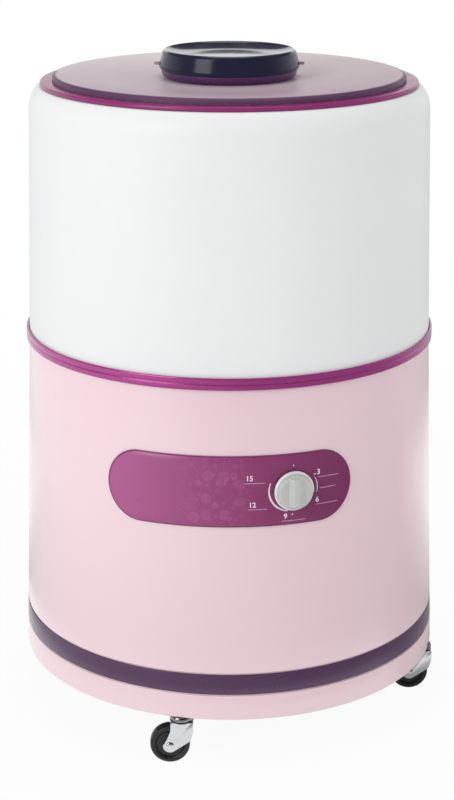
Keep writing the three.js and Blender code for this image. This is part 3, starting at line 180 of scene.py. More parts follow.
# Drive
PULLEY_Z = 226.4
PULLEY_HALF = 8
PULLEY_HUB_R = 18
PULLEY_BORE_R = 4.5
PULLEY_RIM = 5
PULLEY_HOLES = 6
PULLEY_HOLE_PLACE = 50
LARGE_PULLEY_R = 95
SMALL_PULLEY_R = 27
WEB_HALF = 2.5
GROOVE_DEEP = 9
GROOVE_HALF = 5
MOTOR_AZIMUTH = math.radians(-60)
MOTOR_OFFSET = 150
MOTOR_R = 55
MOTOR_HIGH = 78
MOTOR_SHAFT_R = 6
MOTOR_END_R = 40
MOTOR_END_HIGH = 7
MOTOR_BORE_DEEP = 30
GEAR_R = 54
GEAR_HIGH = 75
GEAR_FLANGE = 8
GEAR_FLANGE_THICK = 6
GEAR_NECK_R = 22
GEAR_NECK_LONG = 10
GEAR_BORE_DEEP = 30
GEAR_CORE = 25
DRIVE_TOP_Z = 325.4

# Drain and gland
DRAIN_AZIMUTH = math.radians(180)
DRAIN_DISTANCE = 165
DRAIN_Z = 190
DRAIN_PIPE_R = 16
DRAIN_BORE_R = 12.5
DRAIN_DROP = 40
DRAIN_BEND = 45
DRAIN_STUB = 10
STRAINER_R = 26
STRAINER_PITCH = 5.6
STRAINER_SLOT = 2.8
STRAINER_THICK = 3
GLAND_AZIMUTH = math.radians(155)
GLAND_Z = 160
GLAND_R = 8
GLAND_BORE_R = 4
GLAND_REACH = 14
GLAND_HEAD_R = 12

# Casters
CASTER_R = 277
CASTERS = {"front": (-13, 0), "right": (78, 0), "back": (167, 0), "left": (258, 180)}
CUP_R = 15.5
CUP_Z = 60.2
CUP_PROFILE = ((0, 0), (12.6, 0), (13.6, 0.9), (15, 1.2), (CUP_R, 3.2), (15.2, 5.6), (14.2, 7.5))
STEM_R = 5
STEM_TOP_Z = 91.7
FORK_TOP_Z = 59.9
FORK_TRAIL = 15.3
FORK_REAR = -14.5
FORK_EYE_R = 9.3
FORK_WALL = 2.6
FORK_HALF = 12
FORK_SHEET = 2
FORK_FRONT = ((11.5, 33.3), (15, 44.9))
RIVET_R = 3
RIVET_HALF = ((0, 14.3), (2.4, 14.3), (4.6, 13.5), (5.5, 12.3), (RIVET_R, 12.3))
WHEEL_R = 26.3
WHEEL_HALF = (
    (RIVET_R + GAP, 9), (7.6, 9), (8.6, 8.2), (9.4, 5.8), (17.6, 5.4), (18.8, 7.4), (20.4, 8.8), (23.6, 9),
    (25.4, 7.9), (26.1, 5), (WHEEL_R, 1.2))

# Places that the lights aim at, in metres, the floor, and the camera of the photograph
BODY_MIDDLE = (0, 0, 0.45)
LID_MIDDLE = (0, 0, 0.8)
FLOOR_HALF = 12000
CAMERA_LENS = 81.395
CAMERA_SENSOR = 36
CAMERA_PLACE = (-3.0, -2390.1, 1189.5)
CAMERA_PITCH = math.radians(18.055)

# Turns, and how finely round shapes are made
QUARTER = math.pi / 2
UPRIGHT = Matrix.Rotation(QUARTER, 4, "X")
BODY_SEGMENTS = 180
CORNER_STEPS = 10
EDGE_STEPS = 14


def skirt_radius(z):
    """The skirt's outer radius falls steadily from the foot to the waist."""
    return WAIST_R + (FOOT_R - WAIST_R) * (WAIST_Z - z) / (WAIST_Z - FOOT_Z)


def facing(azimuth, distance, height):
    """Local X to the viewer's right, Y up and Z out of the wall, at an azimuth from the front."""
    right = Vector((math.cos(azimuth), math.sin(azimuth), 0))
    out = Vector((math.sin(azimuth), -math.cos(azimuth), 0))
    basis = Matrix((right, Vector((0, 0, 1)), out)).transposed().to_4x4()
    return Matrix.Translation(out * distance + Vector((0, 0, height))) @ basis


# Shader groups, each built once
def new_group(name, inputs, outputs, tree_kind="ShaderNodeTree"):
    """An empty node group with named sockets, as (tree, its input node, its output node)."""
    tree = bpy.data.node_groups.new(name, tree_kind)
    for label, kind, *value in inputs:
        socket = tree.interface.new_socket(name=label, in_out="INPUT", socket_type="NodeSocket" + kind)
        if value:
            socket.default_value = value[0]
    for label, kind in outputs:
        tree.interface.new_socket(name=label, in_out="OUTPUT", socket_type="NodeSocket" + kind)
    return tree, tree.nodes.new("NodeGroupInput"), tree.nodes.new("NodeGroupOutput")


def feed(tree, socket, source):
    """Links a socket to another node, or sets its value."""
    if isinstance(source, bpy.types.NodeSocket):
        tree.links.new(source, socket)
    else:
        socket.default_value = source


def add(tree, kind, links=(), **settings):
    """A node with its settings made and its inputs linked or set."""
    node = tree.nodes.new(kind)
    for key, value in settings.items():
        setattr(node, key, value)
    for socket, source in dict(links).items():
        feed(tree, node.inputs[socket], source)
    return node


def calc(tree, operation, a, b=0.0, clamp=False):
    return add(tree, "ShaderNodeMath", {0: a, 1: b}, operation=operation, use_clamp=clamp).outputs[0]


def times(tree, a, b):
    return calc(tree, "MULTIPLY", a, b)


def larger(tree, a, b):
    return calc(tree, "MAXIMUM", a, b)


def blend_colours(tree, factor, a, b):
    return add(tree, "ShaderNodeMix", {0: factor, 6: a, 7: b}, data_type="RGBA").outputs[2]


def spread(tree, value, low, high, to_low=0.0, to_high=1.0):
    return add(tree, "ShaderNodeMapRange", {0: value, 1: low, 2: high, 3: to_low, 4: to_high}).outputs[0]


def coordinates(tree):
    return add(tree, "ShaderNodeTexCoord").outputs["Object"]


def object_place(tree):
    """The point on the piece, and its three parts."""
    place = coordinates(tree)
    return place, *add(tree, "ShaderNodeSeparateXYZ", {0: place}).outputs


def facing_up(tree):
    """How far the surface faces up: 1 is level."""
    normal = add(tree, "ShaderNodeNewGeometry").outputs["Normal"]
    return add(tree, "ShaderNodeSeparateXYZ", {0: normal}).outputs[2]


def noise(tree, where, scale, detail=3.0, roughness=0.55):
    return add(tree, "ShaderNodeTexNoise",
               {"Vector": where, "Scale": scale, "Detail": detail, "Roughness": roughness}).outputs["Fac"]


def make_tone_drift():
    """A colour that wanders a little over the piece, as moulded and painted colour does."""
    tree, given, result = new_group("tone_drift", [
        ("Colour", "Color", (0.5, 0.5, 0.5, 1)), ("Second Colour", "Color", (0.5, 0.5, 0.5, 1)),
        ("Scale", "Float", 4.0), ("Strength", "Float", 0.3)], [("Colour", "Color")])
    cloud = noise(tree, coordinates(tree), given.outputs["Scale"], 4.0)
    share = times(tree, spread(tree, cloud, 0.35, 0.65), given.outputs["Strength"])
    tree.links.new(blend_colours(tree, share, given.outputs["Colour"], given.outputs["Second Colour"]),
                   result.inputs["Colour"])
    return tree


def make_fine_grain():
    """Small bumps of a moulded, cast or painted skin, and the gloss change that goes with them."""
    tree, given, result = new_group("fine_grain", [
        ("Scale", "Float", 900.0), ("Coarse Share", "Float", 0.3)], [("Height", "Float"), ("Gloss", "Float")])
    where = coordinates(tree)
    fine = noise(tree, where, given.outputs["Scale"], 2.0)
    coarse = noise(tree, where, times(tree, given.outputs["Scale"], 0.08), 3.0)
    mixed = add(tree, "ShaderNodeMix", {0: given.outputs["Coarse Share"], 2: fine, 3: coarse},
                data_type="FLOAT").outputs[0]
    tree.links.new(mixed, result.inputs["Height"])
    tree.links.new(spread(tree, coarse, 0.3, 0.7), result.inputs["Gloss"])
    return tree


def make_hairlines():
    """Short fine scratches that run in one direction."""
    tree, given, result = new_group("hairlines", [
        ("Stretch", "Vector", (40.0, 40.0, 4.0)), ("Scale", "Float", 12.0), ("Amount", "Float", 0.3)],
        [("Mask", "Float")])
    where = add(tree, "ShaderNodeVectorMath", {0: coordinates(tree), 1: given.outputs["Stretch"]},
                operation="MULTIPLY").outputs[0]
    lines = noise(tree, where, given.outputs["Scale"], 5.0, 0.7)
    patches = noise(tree, coordinates(tree), 7.0, 2.0)
    mask = times(tree, spread(tree, lines, 0.56, 0.68), spread(tree, patches, 0.4, 0.62))
    tree.links.new(times(tree, mask, given.outputs["Amount"]), result.inputs["Mask"])
    return tree


def make_edge_wear():
    """Rubbed edges: where the surface turns sharply outwards, broken up by noise."""
    tree, given, result = new_group("edge_wear", [
        ("Amount", "Float", 0.4), ("Break Up", "Float", 160.0)], [("Mask", "Float")])
    point = add(tree, "ShaderNodeNewGeometry").outputs["Pointiness"]
    ridge = spread(tree, point, 0.53, 0.62)
    rough = spread(tree, noise(tree, coordinates(tree), given.outputs["Break Up"], 3.0), 0.4, 0.6)
    mask = times(tree, ridge, rough)
    tree.links.new(times(tree, mask, given.outputs["Amount"]), result.inputs["Mask"])
    return tree


def make_settled_dust():
    """Dust that lies on what faces up, in loose patches."""
    tree, given, result = new_group("settled_dust", [
        ("Amount", "Float", 0.2), ("Scale", "Float", 30.0)], [("Mask", "Float")])
    where = coordinates(tree)
    patches = spread(tree, noise(tree, where, given.outputs["Scale"], 4.0), 0.42, 0.7)
    specks = spread(tree, noise(tree, where, 2600.0, 1.0), 0.62, 0.7)
    mask = times(tree, spread(tree, facing_up(tree), 0.15, 0.95), larger(tree, patches, specks))
    tree.links.new(times(tree, mask, given.outputs["Amount"]), result.inputs["Mask"])
    return tree


TONE_DRIFT = make_tone_drift()
FINE_GRAIN = make_fine_grain()
HAIRLINES = make_hairlines()
EDGE_WEAR = make_edge_wear()
SETTLED_DUST = make_settled_dust()


def place_group(tree, group, **values):
    node = tree.nodes.new("ShaderNodeGroup")
    node.node_tree = group
    for label, value in values.items():
        feed(tree, node.inputs[label.replace("_", " ")], value)
    return node


def rgb(*colour):
    """A colour written as 0-255 screen values, in linear light."""
    values = [c / 255 for c in colour]
    return (*[c / 12.92 if c <= 0.04045 else ((c + 0.055) / 1.055) ** 2.4 for c in values], 1)


DUST = rgb(214, 210, 204)


def finish(name, colour, second, roughness, metallic=0.0, drift=0.4, drift_scale=4.0, grain=900.0,
           grain_depth=0.05, scratches=0.3, wear=0.3, worn=None, dust=0.15, coat=0.0, coat_roughness=0.08,
           specular=0.5, pattern=None, coat_mask=None):
    """A finish made of the shared groups; pattern changes the colour before wear and dust."""
    material = bpy.data.materials.new(name)
    material.use_nodes = True
    tree = material.node_tree
    shader = tree.nodes["Principled BSDF"]
    tone = place_group(tree, TONE_DRIFT, Colour=rgb(*colour), Second_Colour=rgb(*second),
                       Scale=drift_scale, Strength=drift).outputs[0]
    grained = place_group(tree, FINE_GRAIN, Scale=grain)
    lines = place_group(tree, HAIRLINES, Amount=scratches).outputs[0]
    rubbed = place_group(tree, EDGE_WEAR, Amount=wear).outputs[0]
    dusty = place_group(tree, SETTLED_DUST, Amount=dust).outputs[0]
    if pattern:
        tone = pattern(tree, tone)
    tone = blend_colours(tree, rubbed, tone, rgb(*(worn or second)))
    tone = blend_colours(tree, dusty, tone, DUST)
    tree.links.new(tone, shader.inputs["Base Color"])
    gloss = calc(tree, "MULTIPLY_ADD", grained.outputs["Gloss"], 0.06)
    gloss.node.inputs[2].default_value = roughness - 0.03
    gloss = calc(tree, "ADD", gloss, times(tree, lines, 0.25))
    gloss = calc(tree, "ADD", gloss, times(tree, dusty, 0.4), clamp=True)
    tree.links.new(gloss, shader.inputs["Roughness"])
    height = calc(tree, "SUBTRACT", grained.outputs["Height"], times(tree, lines, 0.5))
    bump = add(tree, "ShaderNodeBump", {"Height": height, "Strength": grain_depth, "Distance": 0.0006})
    tree.links.new(bump.outputs[0], shader.inputs["Normal"])
    shader.inputs["Metallic"].default_value = metallic
    shader.inputs["Specular IOR Level"].default_value = specular
    shader.inputs["Coat Weight"].default_value = coat
    shader.inputs["Coat Roughness"].default_value = coat_roughness
    if coat_mask:
        tree.links.new(coat_mask(tree), shader.inputs["Coat Weight"])
    return material


# The plate's print: lighter at the left end, darker at the right, with round bubbles between them
BUBBLES = ((0.020, 0.36, 0.3), (0.011, 0.3, 0.25))


def plate_print(tree, tone):
    x, z = object_place(tree)[1::2]
    flat = add(tree, "ShaderNodeCombineXYZ", {0: x, 1: z}).outputs[0]
    shade = blend_colours(tree, spread(tree, x, -0.13, 0.03), rgb(171, 84, 139), tone)
    shade = blend_colours(tree, spread(tree, x, 0.03, 0.16), shade, rgb(118, 42, 92))
    fade = times(tree, spread(tree, x, -0.07, -0.04), spread(tree, x, 0.03, 0.01))
    for pitch, size, strength in BUBBLES:
        cells = add(tree, "ShaderNodeTexVoronoi", {"Vector": flat, "Scale": 1 / pitch, "Randomness": 0.75},
                    voronoi_dimensions="2D").outputs
        chance = add(tree, "ShaderNodeSeparateColor", {0: cells["Color"]}).outputs[0]
        inside = calc(tree, "SUBTRACT", spread(tree, chance, 0.0, 1.0, size * 0.45, size), cells["Distance"])
        disc = spread(tree, inside, 0.0, 0.02)
        ring = calc(tree, "SUBTRACT", disc, spread(tree, inside, 0.045, 0.065))
        mask = times(tree, fade, larger(tree, ring, times(tree, disc, 0.45)))
        shade = blend_colours(tree, times(tree, mask, strength), shade, rgb(196, 112, 166))
    return shade


def lid_painted_light(tree, tone):
    """Painted light on the smoked disc: a dark band round its edge is painted shade, the front is painted
    deeper and the back paler as painted reflection, and the right side is painted darker as shade.
    """
    place, x, y = object_place(tree)[:3]
    flat = add(tree, "ShaderNodeVectorMath", {0: place, 1: (1, 1, 0)}, operation="MULTIPLY").outputs[0]
    reach = add(tree, "ShaderNodeVectorMath", {0: flat}, operation="LENGTH").outputs["Value"]
    # Painted reflection: deeper towards the front, paler towards the back; then painted shade on the right
    # side.
    tone = blend_colours(tree, spread(tree, y, -0.2, 0.02), rgb(190, 164, 179), tone)
    tone = blend_colours(tree, spread(tree, y, 0.02, 0.2), tone, rgb(227, 217, 218))
    tone = blend_colours(tree, spread(tree, x, 0.02, 0.2, 0.0, 0.3), tone, rgb(168, 144, 146))
    # Painted shade: the dark band round the disc's rounded edge.
    edge = spread(tree, reach, LID_R * MM - 0.006, LID_R * MM - 0.0035)
    return blend_colours(tree, edge, tone, rgb(96, 64, 96))


def polished_top(tree):
    """Handling has polished what faces up."""
    return spread(tree, facing_up(tree), 0.55, 0.95)


# Finishes: name, colour, second colour and roughness, then what sets each apart
WHITE = finish("white_body", (238, 240, 240), (232, 234, 235), 0.5, grain=700,
               grain_depth=0.03, wear=0.1, dust=0.05, scratches=0.12, specular=0.4)
PINK = finish("pink_body", (241, 212, 220), (238, 206, 215), 0.34, grain=700,
              grain_depth=0.03, wear=0.12, worn=(244, 220, 226), dust=0.04, scratches=0.08, coat=1.0,
              coat_roughness=0.15, specular=1.0)
MAGENTA = finish("magenta_trim", (177, 62, 143), (169, 56, 135), 0.26, metallic=0.5,
                 grain_depth=0.02, wear=0.2, worn=(190, 110, 165), dust=0.03, scratches=0.15, coat=0.6)
RIM_MAGENTA = finish("magenta_rim", (146, 46, 112), (138, 42, 105), 0.22,
                     grain_depth=0.02, wear=0.2, worn=(196, 112, 166), dust=0.03, scratches=0.05,
                     specular=0.4)
STRIPE = finish("purple_stripe", (80, 46, 84), (73, 42, 78), 0.3, grain_depth=0, wear=0.15,
                worn=(125, 98, 134), dust=0.02, scratches=0, coat=0.35)
# The smoked lid takes painted shade and painted reflection from its pattern.
SMOKED = finish("smoked_lid", (212, 198, 204), (206, 190, 198), 0.4, grain_depth=0.003,
                wear=0.1, worn=(222, 208, 214), dust=0.02, scratches=0.04, specular=0.2, pattern=lid_painted_light)
COLLAR = finish("dark_purple_collar", (80, 37, 91), (72, 32, 82), 0.26,
                grain_depth=0.03, wear=0.2, worn=(112, 72, 122), dust=0.05)
LUG = finish("mauve_tab", (178, 152, 168), (168, 142, 158), 0.35, grain_depth=0.03,
             dust=0.05)
NAVY = finish("navy_grip", (33, 36, 60), (28, 31, 52), 0.17, grain_depth=0.002, wear=0.2,
              worn=(70, 74, 96), dust=0.04, scratches=0.03, specular=0.25, coat_mask=polished_top)
PLATE = finish("printed_plate", (142, 60, 110), (137, 56, 105), 0.3, drift=0.5,
               drift_scale=25, scratches=0, grain_depth=0, wear=0.05, worn=(190, 120, 170), dust=0.01,
               pattern=plate_print)
PLATE_EDGE = finish("plate_edge", (116, 52, 96), (108, 48, 90), 0.35, grain_depth=0.03,
                    dust=0.05)
INK = finish("white_ink", (240, 232, 240), (232, 224, 234), 0.45, grain_depth=0.04,
             wear=0.05, dust=0.03)
FAINT_INK = finish("faint_ink", (206, 156, 192), (198, 148, 184), 0.45, grain_depth=0.04,
                   wear=0.05, dust=0.03)
KNOB_GREY = finish("silver_grey_knob", (196, 200, 197), (186, 190, 188), 0.3, drift_scale=60,
                   grain_depth=0.06, wear=0.3, worn=(226, 228, 226), dust=0.06, specular=0.6)
KNOB_BAR = finish("pale_grey_bar", (226, 229, 227), (216, 219, 218), 0.28, drift_scale=60,
                  grain_depth=0.04, wear=0.2, dust=0.05)
BLACK = finish("black_moulding", (34, 34, 36), (44, 44, 46), 0.55, grain=500,
               grain_depth=0.18, wear=0.4, worn=(80, 80, 82), dust=0.12)
BLUE_GREY = finish("blue_grey_agitator", (108, 132, 168), (98, 122, 158), 0.4,
                   grain_depth=0.07, wear=0.3, worn=(150, 168, 194), dust=0.05)
RUBBER = finish("black_rubber", (30, 30, 30), (40, 40, 40), 0.72, grain=1200, grain_depth=0.2,
                wear=0.35, worn=(70, 70, 70), dust=0.1)
TREAD = finish("wheel_tread", (23, 22, 23), (30, 29, 30), 0.42, grain=900, grain_depth=0.1,
               wear=0.2, worn=(66, 66, 66), dust=0.05, drift_scale=60)
CHROME = finish("bright_plating", (216, 219, 219), (200, 204, 205), 0.14, metallic=1.0,
                drift_scale=70, grain=400, grain_depth=0.05, wear=0.15, worn=(236, 238, 238), scratches=0.5,
                dust=0.05)
ZINC = finish("zinc_plating", (188, 192, 188), (170, 176, 178), 0.3, metallic=1.0, drift=0.8,
              drift_scale=90, grain=500, grain_depth=0.08, wear=0.3, worn=(214, 216, 214), scratches=0.6,
              dust=0.1)
DARK_STEEL = finish("dark_plating", (150, 146, 150), (134, 129, 134), 0.18, metallic=1.0,
                    drift_scale=80, grain=500, grain_depth=0.06, wear=0.3, worn=(200, 198, 200), dust=0.04)
CAST = finish("cast_alloy", (150, 152, 154), (128, 131, 134), 0.45, metallic=0.9,
              drift_scale=40, grain=260, grain_depth=0.35, wear=0.4, worn=(196, 198, 200), dust=0.15)
MOTOR_PAINT = finish("motor_paint", (52, 56, 60), (44, 47, 51), 0.42, grain=420,
                     grain_depth=0.14, wear=0.5, worn=(120, 122, 124), dust=0.15)


# Mesh making
def soften(outline, radius, steps=3):
    """A closed outline with its corners rounded; corners on the axis and very short sides are left."""
    points = [Vector(p) for p in outline]
    result = []
    for i, here in enumerate(points):
        before, after = points[i - 1], points[(i + 1) % len(points)]
        back, ahead = before - here, after - here
        reach = min(radius, back.length * 0.45, ahead.length * 0.45)
        straight = back.length * ahead.length and back.normalized().dot(ahead.normalized()) < -0.97
        if reach < 0.02 or straight or here.x == 0:
            result.append(tuple(here))
            continue
        start, end = here + back.normalized() * reach, here + ahead.normalized() * reach
        for k in range(steps + 1):
            t = k / steps
            result.append(tuple(start * (1 - t) ** 2 + here * (2 * t * (1 - t)) + end * t * t))
    return result


def arc(x, y, radius_x, radius_y, start, end, steps):
    turns = [start + (end - start) * i / steps for i in range(steps + 1)]
    return [(x + radius_x * math.cos(a), y + radius_y * math.sin(a)) for a in turns]


def lathe(outline, segments):
    """Vertices and faces of a closed outline of (radius, height) turned about Z."""
    count = len(outline)
    verts = []
    for j in range(segments):
        turn = math.tau * j / segments
        verts += [(r * math.cos(turn), r * math.sin(turn), z) for r, z in outline]
    faces = []
    for j in range(segments):
        a, b = j * count, (j + 1) % segments * count
        for i in range(count):
            k = (i + 1) % count
            if outline[i][0] or outline[k][0]:
                faces.append((a + i, a + k, b + k, b + i))
    return verts, faces


def loft(foot, low, crest, high):
    """Vertices and faces between two outlines in XY with as many points, each at its own height."""
    count = len(foot)
    verts = [(x, y, low) for x, y in foot] + [(x, y, high) for x, y in crest]
    faces = [tuple(range(count - 1, -1, -1)), tuple(range(count, 2 * count))]
    faces += [(i, (i + 1) % count, count + (i + 1) % count, count + i) for i in range(count)]
    return verts, faces


def prism(outline, low, high):
    """Vertices and faces of an outline in XY pulled up from one height to another."""
    return loft(outline, low, outline, high)


def oblong(left, right, half_high):
    """The outline of an oblong that lies evenly about the X axis."""
    return [(left, -half_high), (right, -half_high), (right, half_high), (left, half_high)]


def linked(name, data):
    """A new object in the scene."""
    obj = bpy.data.objects.new(name, data)
    bpy.context.scene.collection.objects.link(obj)
    return obj


def make_object(name, verts, faces, matrix=None, merge=0.004):
    """A mesh object in metres, its doubles merged and its faces turned outwards."""
    matrix = matrix or Matrix.Identity(4)
    mesh = bpy.data.meshes.new(name)
    mesh.from_pydata([(matrix @ Vector(v)) * MM for v in verts], [], faces)
    body = bmesh.new()
    body.from_mesh(mesh)
    bmesh.ops.remove_doubles(body, verts=body.verts, dist=merge * MM)
    bmesh.ops.dissolve_degenerate(body, edges=body.edges, dist=1e-7)
    bmesh.ops.recalc_face_normals(body, faces=body.faces)
    body.to_mesh(mesh)
    body.free()
    return linked(name, mesh)


def tube(name, bore, radius, low, high, sides, matrix=None):
    """A round bar along Z with a hole through it."""
    outline = [(bore, low), (radius, low), (radius, high), (bore, high)]
    return make_object(name, *lathe(outline, sides), matrix)


def rod(name, radius, low, high, sides, matrix=None):
    """A solid round bar along Z."""
    return tube(name, 0, radius, low, high, sides, matrix)


def bake(obj):
    """The object with its modifiers made part of its mesh."""
    bpy.context.view_layer.update()
    evaluated = obj.evaluated_get(bpy.context.evaluated_depsgraph_get())
    mesh = bpy.data.meshes.new_from_object(evaluated)
    obj.modifiers.clear()
    obj.data = mesh
    return obj


def combine(obj, tools, operation="DIFFERENCE"):
    """Cuts the tools from the object or joins them to it, then deletes them."""
    for tool in tools:
        step = obj.modifiers.new("step", "BOOLEAN")
        step.solver = "EXACT"
        step.operation = operation
        step.object = tool
    bake(obj)
    for tool in tools:
        bpy.data.objects.remove(tool)
    return obj


def round_edges(obj, width, segments=2, angle=35):
    bevel = obj.modifiers.new("round", "BEVEL")
    bevel.width = width * MM
    bevel.segments = segments
    bevel.limit_method = "ANGLE"
    bevel.angle_limit = math.radians(angle)
    bevel.use_clamp_overlap = True
    return bake(obj)


def merge_meshes(obj, others):
    """Adds other objects' meshes to an object's mesh, then deletes those objects."""
    body = bmesh.new()
    for source in (obj, *others):
        body.from_mesh(source.data)
    body.to_mesh(obj.data)
    body.free()
    for other in others:
        bpy.data.objects.remove(other)


def dress(obj, material, body, stands_for=(), angle=38):
    """Shades the piece, gives it its finish and that finish's slot, and puts it on its body."""
    obj.data.materials.clear()
    obj.data.materials.append(material)
    obj.data.shade_smooth()
    obj.data.set_sharp_from_angle(angle=math.radians(angle))
    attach(obj, body)
    if stands_for:
        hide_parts(*stands_for)
    return obj


def turned(name, outline, segments, material, body, stands_for=(), soft=0.0, matrix=None, steps=3):
    """A dressed piece turned from a closed outline of (radius, height), its corners softened."""
    shape = soften(outline, soft, steps) if soft else outline
    return dress(make_object(name, *lathe(shape, segments), matrix), material, body, stands_for)


# Geometry Nodes: bars or pads set in a ring
def make_bar_ring():
    """Rounded bars in a ring about Z: each stands upright, or lies along its radius when Lying is 1."""
    tree, source, result = new_group("bar_ring", [
        ("Count", "Int", 12), ("Ring Radius", "Float", 0.1), ("Height", "Float", 0.1),
        ("Length", "Float", 0.05), ("Half Width", "Float", 0.003), ("Depth Share", "Float", 1.0),
        ("Lying", "Float", 0.0), ("Finish", "Material")], [("Geometry", "Geometry")], "GeometryNodeTree")
    given = source.outputs
    circle = add(tree, "GeometryNodeMeshCircle", {"Vertices": given["Count"], "Radius": given["Ring Radius"]})
    half = times(tree, given["Length"], 0.5)
    low = add(tree, "ShaderNodeCombineXYZ", {2: times(tree, half, -1.0)})
    high = add(tree, "ShaderNodeCombineXYZ", {2: half})
    line = add(tree, "GeometryNodeCurvePrimitiveLine", {"Start": low.outputs[0], "End": high.outputs[0]})
    section = add(tree, "GeometryNodeCurvePrimitiveCircle", {"Resolution": 12, "Radius": given["Half Width"]})
    bar = add(tree, "GeometryNodeCurveToMesh",
              {"Curve": line.outputs[0], "Profile Curve": section.outputs[0], "Fill Caps": True})
    depth = add(tree, "ShaderNodeCombineXYZ", {0: given["Depth Share"], 1: 1.0, 2: 1.0})
    flat = add(tree, "GeometryNodeTransform", {"Geometry": bar.outputs[0], "Scale": depth.outputs[0]})
    place = add(tree, "GeometryNodeInputPosition").outputs[0]
    parts = add(tree, "ShaderNodeSeparateXYZ", {0: place})
    angle = calc(tree, "ARCTAN2", parts.outputs[1], parts.outputs[0])
    tip = times(tree, given["Lying"], QUARTER)
    turn = add(tree, "ShaderNodeCombineXYZ", {1: tip, 2: angle})
    bars = add(tree, "GeometryNodeInstanceOnPoints",
               {"Points": circle.outputs[0], "Instance": flat.outputs[0], "Rotation": turn.outputs[0]})
    lift = add(tree, "ShaderNodeCombineXYZ", {2: given["Height"]})
    raised = add(tree, "GeometryNodeTransform", {"Geometry": bars.outputs[0], "Translation": lift.outputs[0]})
    solid = add(tree, "GeometryNodeRealizeInstances", {0: raised.outputs[0]})
    painted = add(tree, "GeometryNodeSetMaterial", {0: solid.outputs[0], "Material": given["Finish"]})
    tree.links.new(painted.outputs[0], result.inputs["Geometry"])
    return tree


BAR_RING = make_bar_ring()


def ring_of_bars(name, material, body, matrix=None, **sizes):
    """A ring of bars as a plain mesh on a body; sizes are the tree's inputs, lengths in millimetres."""
    obj = make_object(name, [], [])
    step = obj.modifiers.new("bars", "NODES")
    step.node_group = BAR_RING
    sockets = {item.name: item for item in BAR_RING.interface.items_tree if item.in_out == "INPUT"}
    for label, value in sizes.items():
        socket = sockets[label.replace("_", " ")]
        plain = label in ("Count", "Depth_Share", "Lying")
        step[socket.identifier] = value if plain else value * MM
    step[sockets["Finish"].identifier] = material
    bake(obj)
    if matrix:
        shift = matrix.copy()
        shift.translation *= MM
        obj.data.transform(shift)
    return dress(obj, material, body)


# Tub, skirt and trims
def tub_outline():
    rise = TUB_TOP_Z - TUB_SHOULDER_Z
    end = math.asin(rise / SHOULDER_HIGH)
    shoulder = TUB_SHOULDER_R - SHOULDER_WIDE
    corner = TUB_FOOT_R - TUB_CORNER_R
    corner_z = TUB_FLOOR_Z + TUB_CORNER_R
    inner_corner = TUB_CORNER_R - TUB_WALL
    inner_wide = TUB_SHOULDER_R - TUB_WALL - TUB_MOUTH_R
    ledge_z = WAIST_Z + GAP
    return [
        (TUB_BORE_R, TUB_FLOOR_Z),
        *arc(corner, corner_z, TUB_CORNER_R, TUB_CORNER_R, -QUARTER, 0, CORNER_STEPS),
        (TUB_LEDGE_R, ledge_z),
        (WAIST_R, ledge_z),
        *arc(shoulder, TUB_SHOULDER_Z, SHOULDER_WIDE, SHOULDER_HIGH, 0, end, EDGE_STEPS),
        (TUB_MOUTH_R, TUB_TOP_Z),
        *arc(TUB_MOUTH_R, TUB_SHOULDER_Z, inner_wide, rise - TUB_WALL, QUARTER, 0, CORNER_STEPS),
        (WAIST_R - TUB_WALL, ledge_z + TUB_WALL),
        (TUB_LEDGE_R - TUB_WALL, ledge_z + TUB_WALL),
        *arc(corner, corner_z, inner_corner, inner_corner, 0, -QUARTER, CORNER_STEPS),
        (TUB_BORE_R, TUB_FLOOR_Z + TUB_WALL),
    ]


def wall_tool(name, radius, azimuth, height):
    """A round bar through the skirt's wall, to cut with."""
    return rod(name, radius, -WALL_REACH, WALL_REACH, 40, facing(azimuth, skirt_radius(height), height))


def make_tub():
    tub = make_object("tub_vessel", *lathe(tub_outline(), BODY_SEGMENTS))
    combine(tub, [rod("drain_hole", DRAIN_BORE_R, TUB_FLOOR_Z - OVERRUN, TUB_FLOOR_Z + OVERRUN, 40,
                      Matrix.Translation((0, DRAIN_DISTANCE, 0)))])
    dress(tub, WHITE, "machine", ["tub"])
    ring_of_bars("tub_wash_ribs", WHITE, "machine", Count=18, Ring_Radius=232.3, Height=430, Length=120,
                 Half_Width=5, Depth_Share=0.9)
    ring_of_bars("tub_floor_ribs", WHITE, "machine", Count=12, Ring_Radius=183, Height=333.2, Length=36,
                 Half_Width=3, Depth_Share=0.8, Lying=1.0)


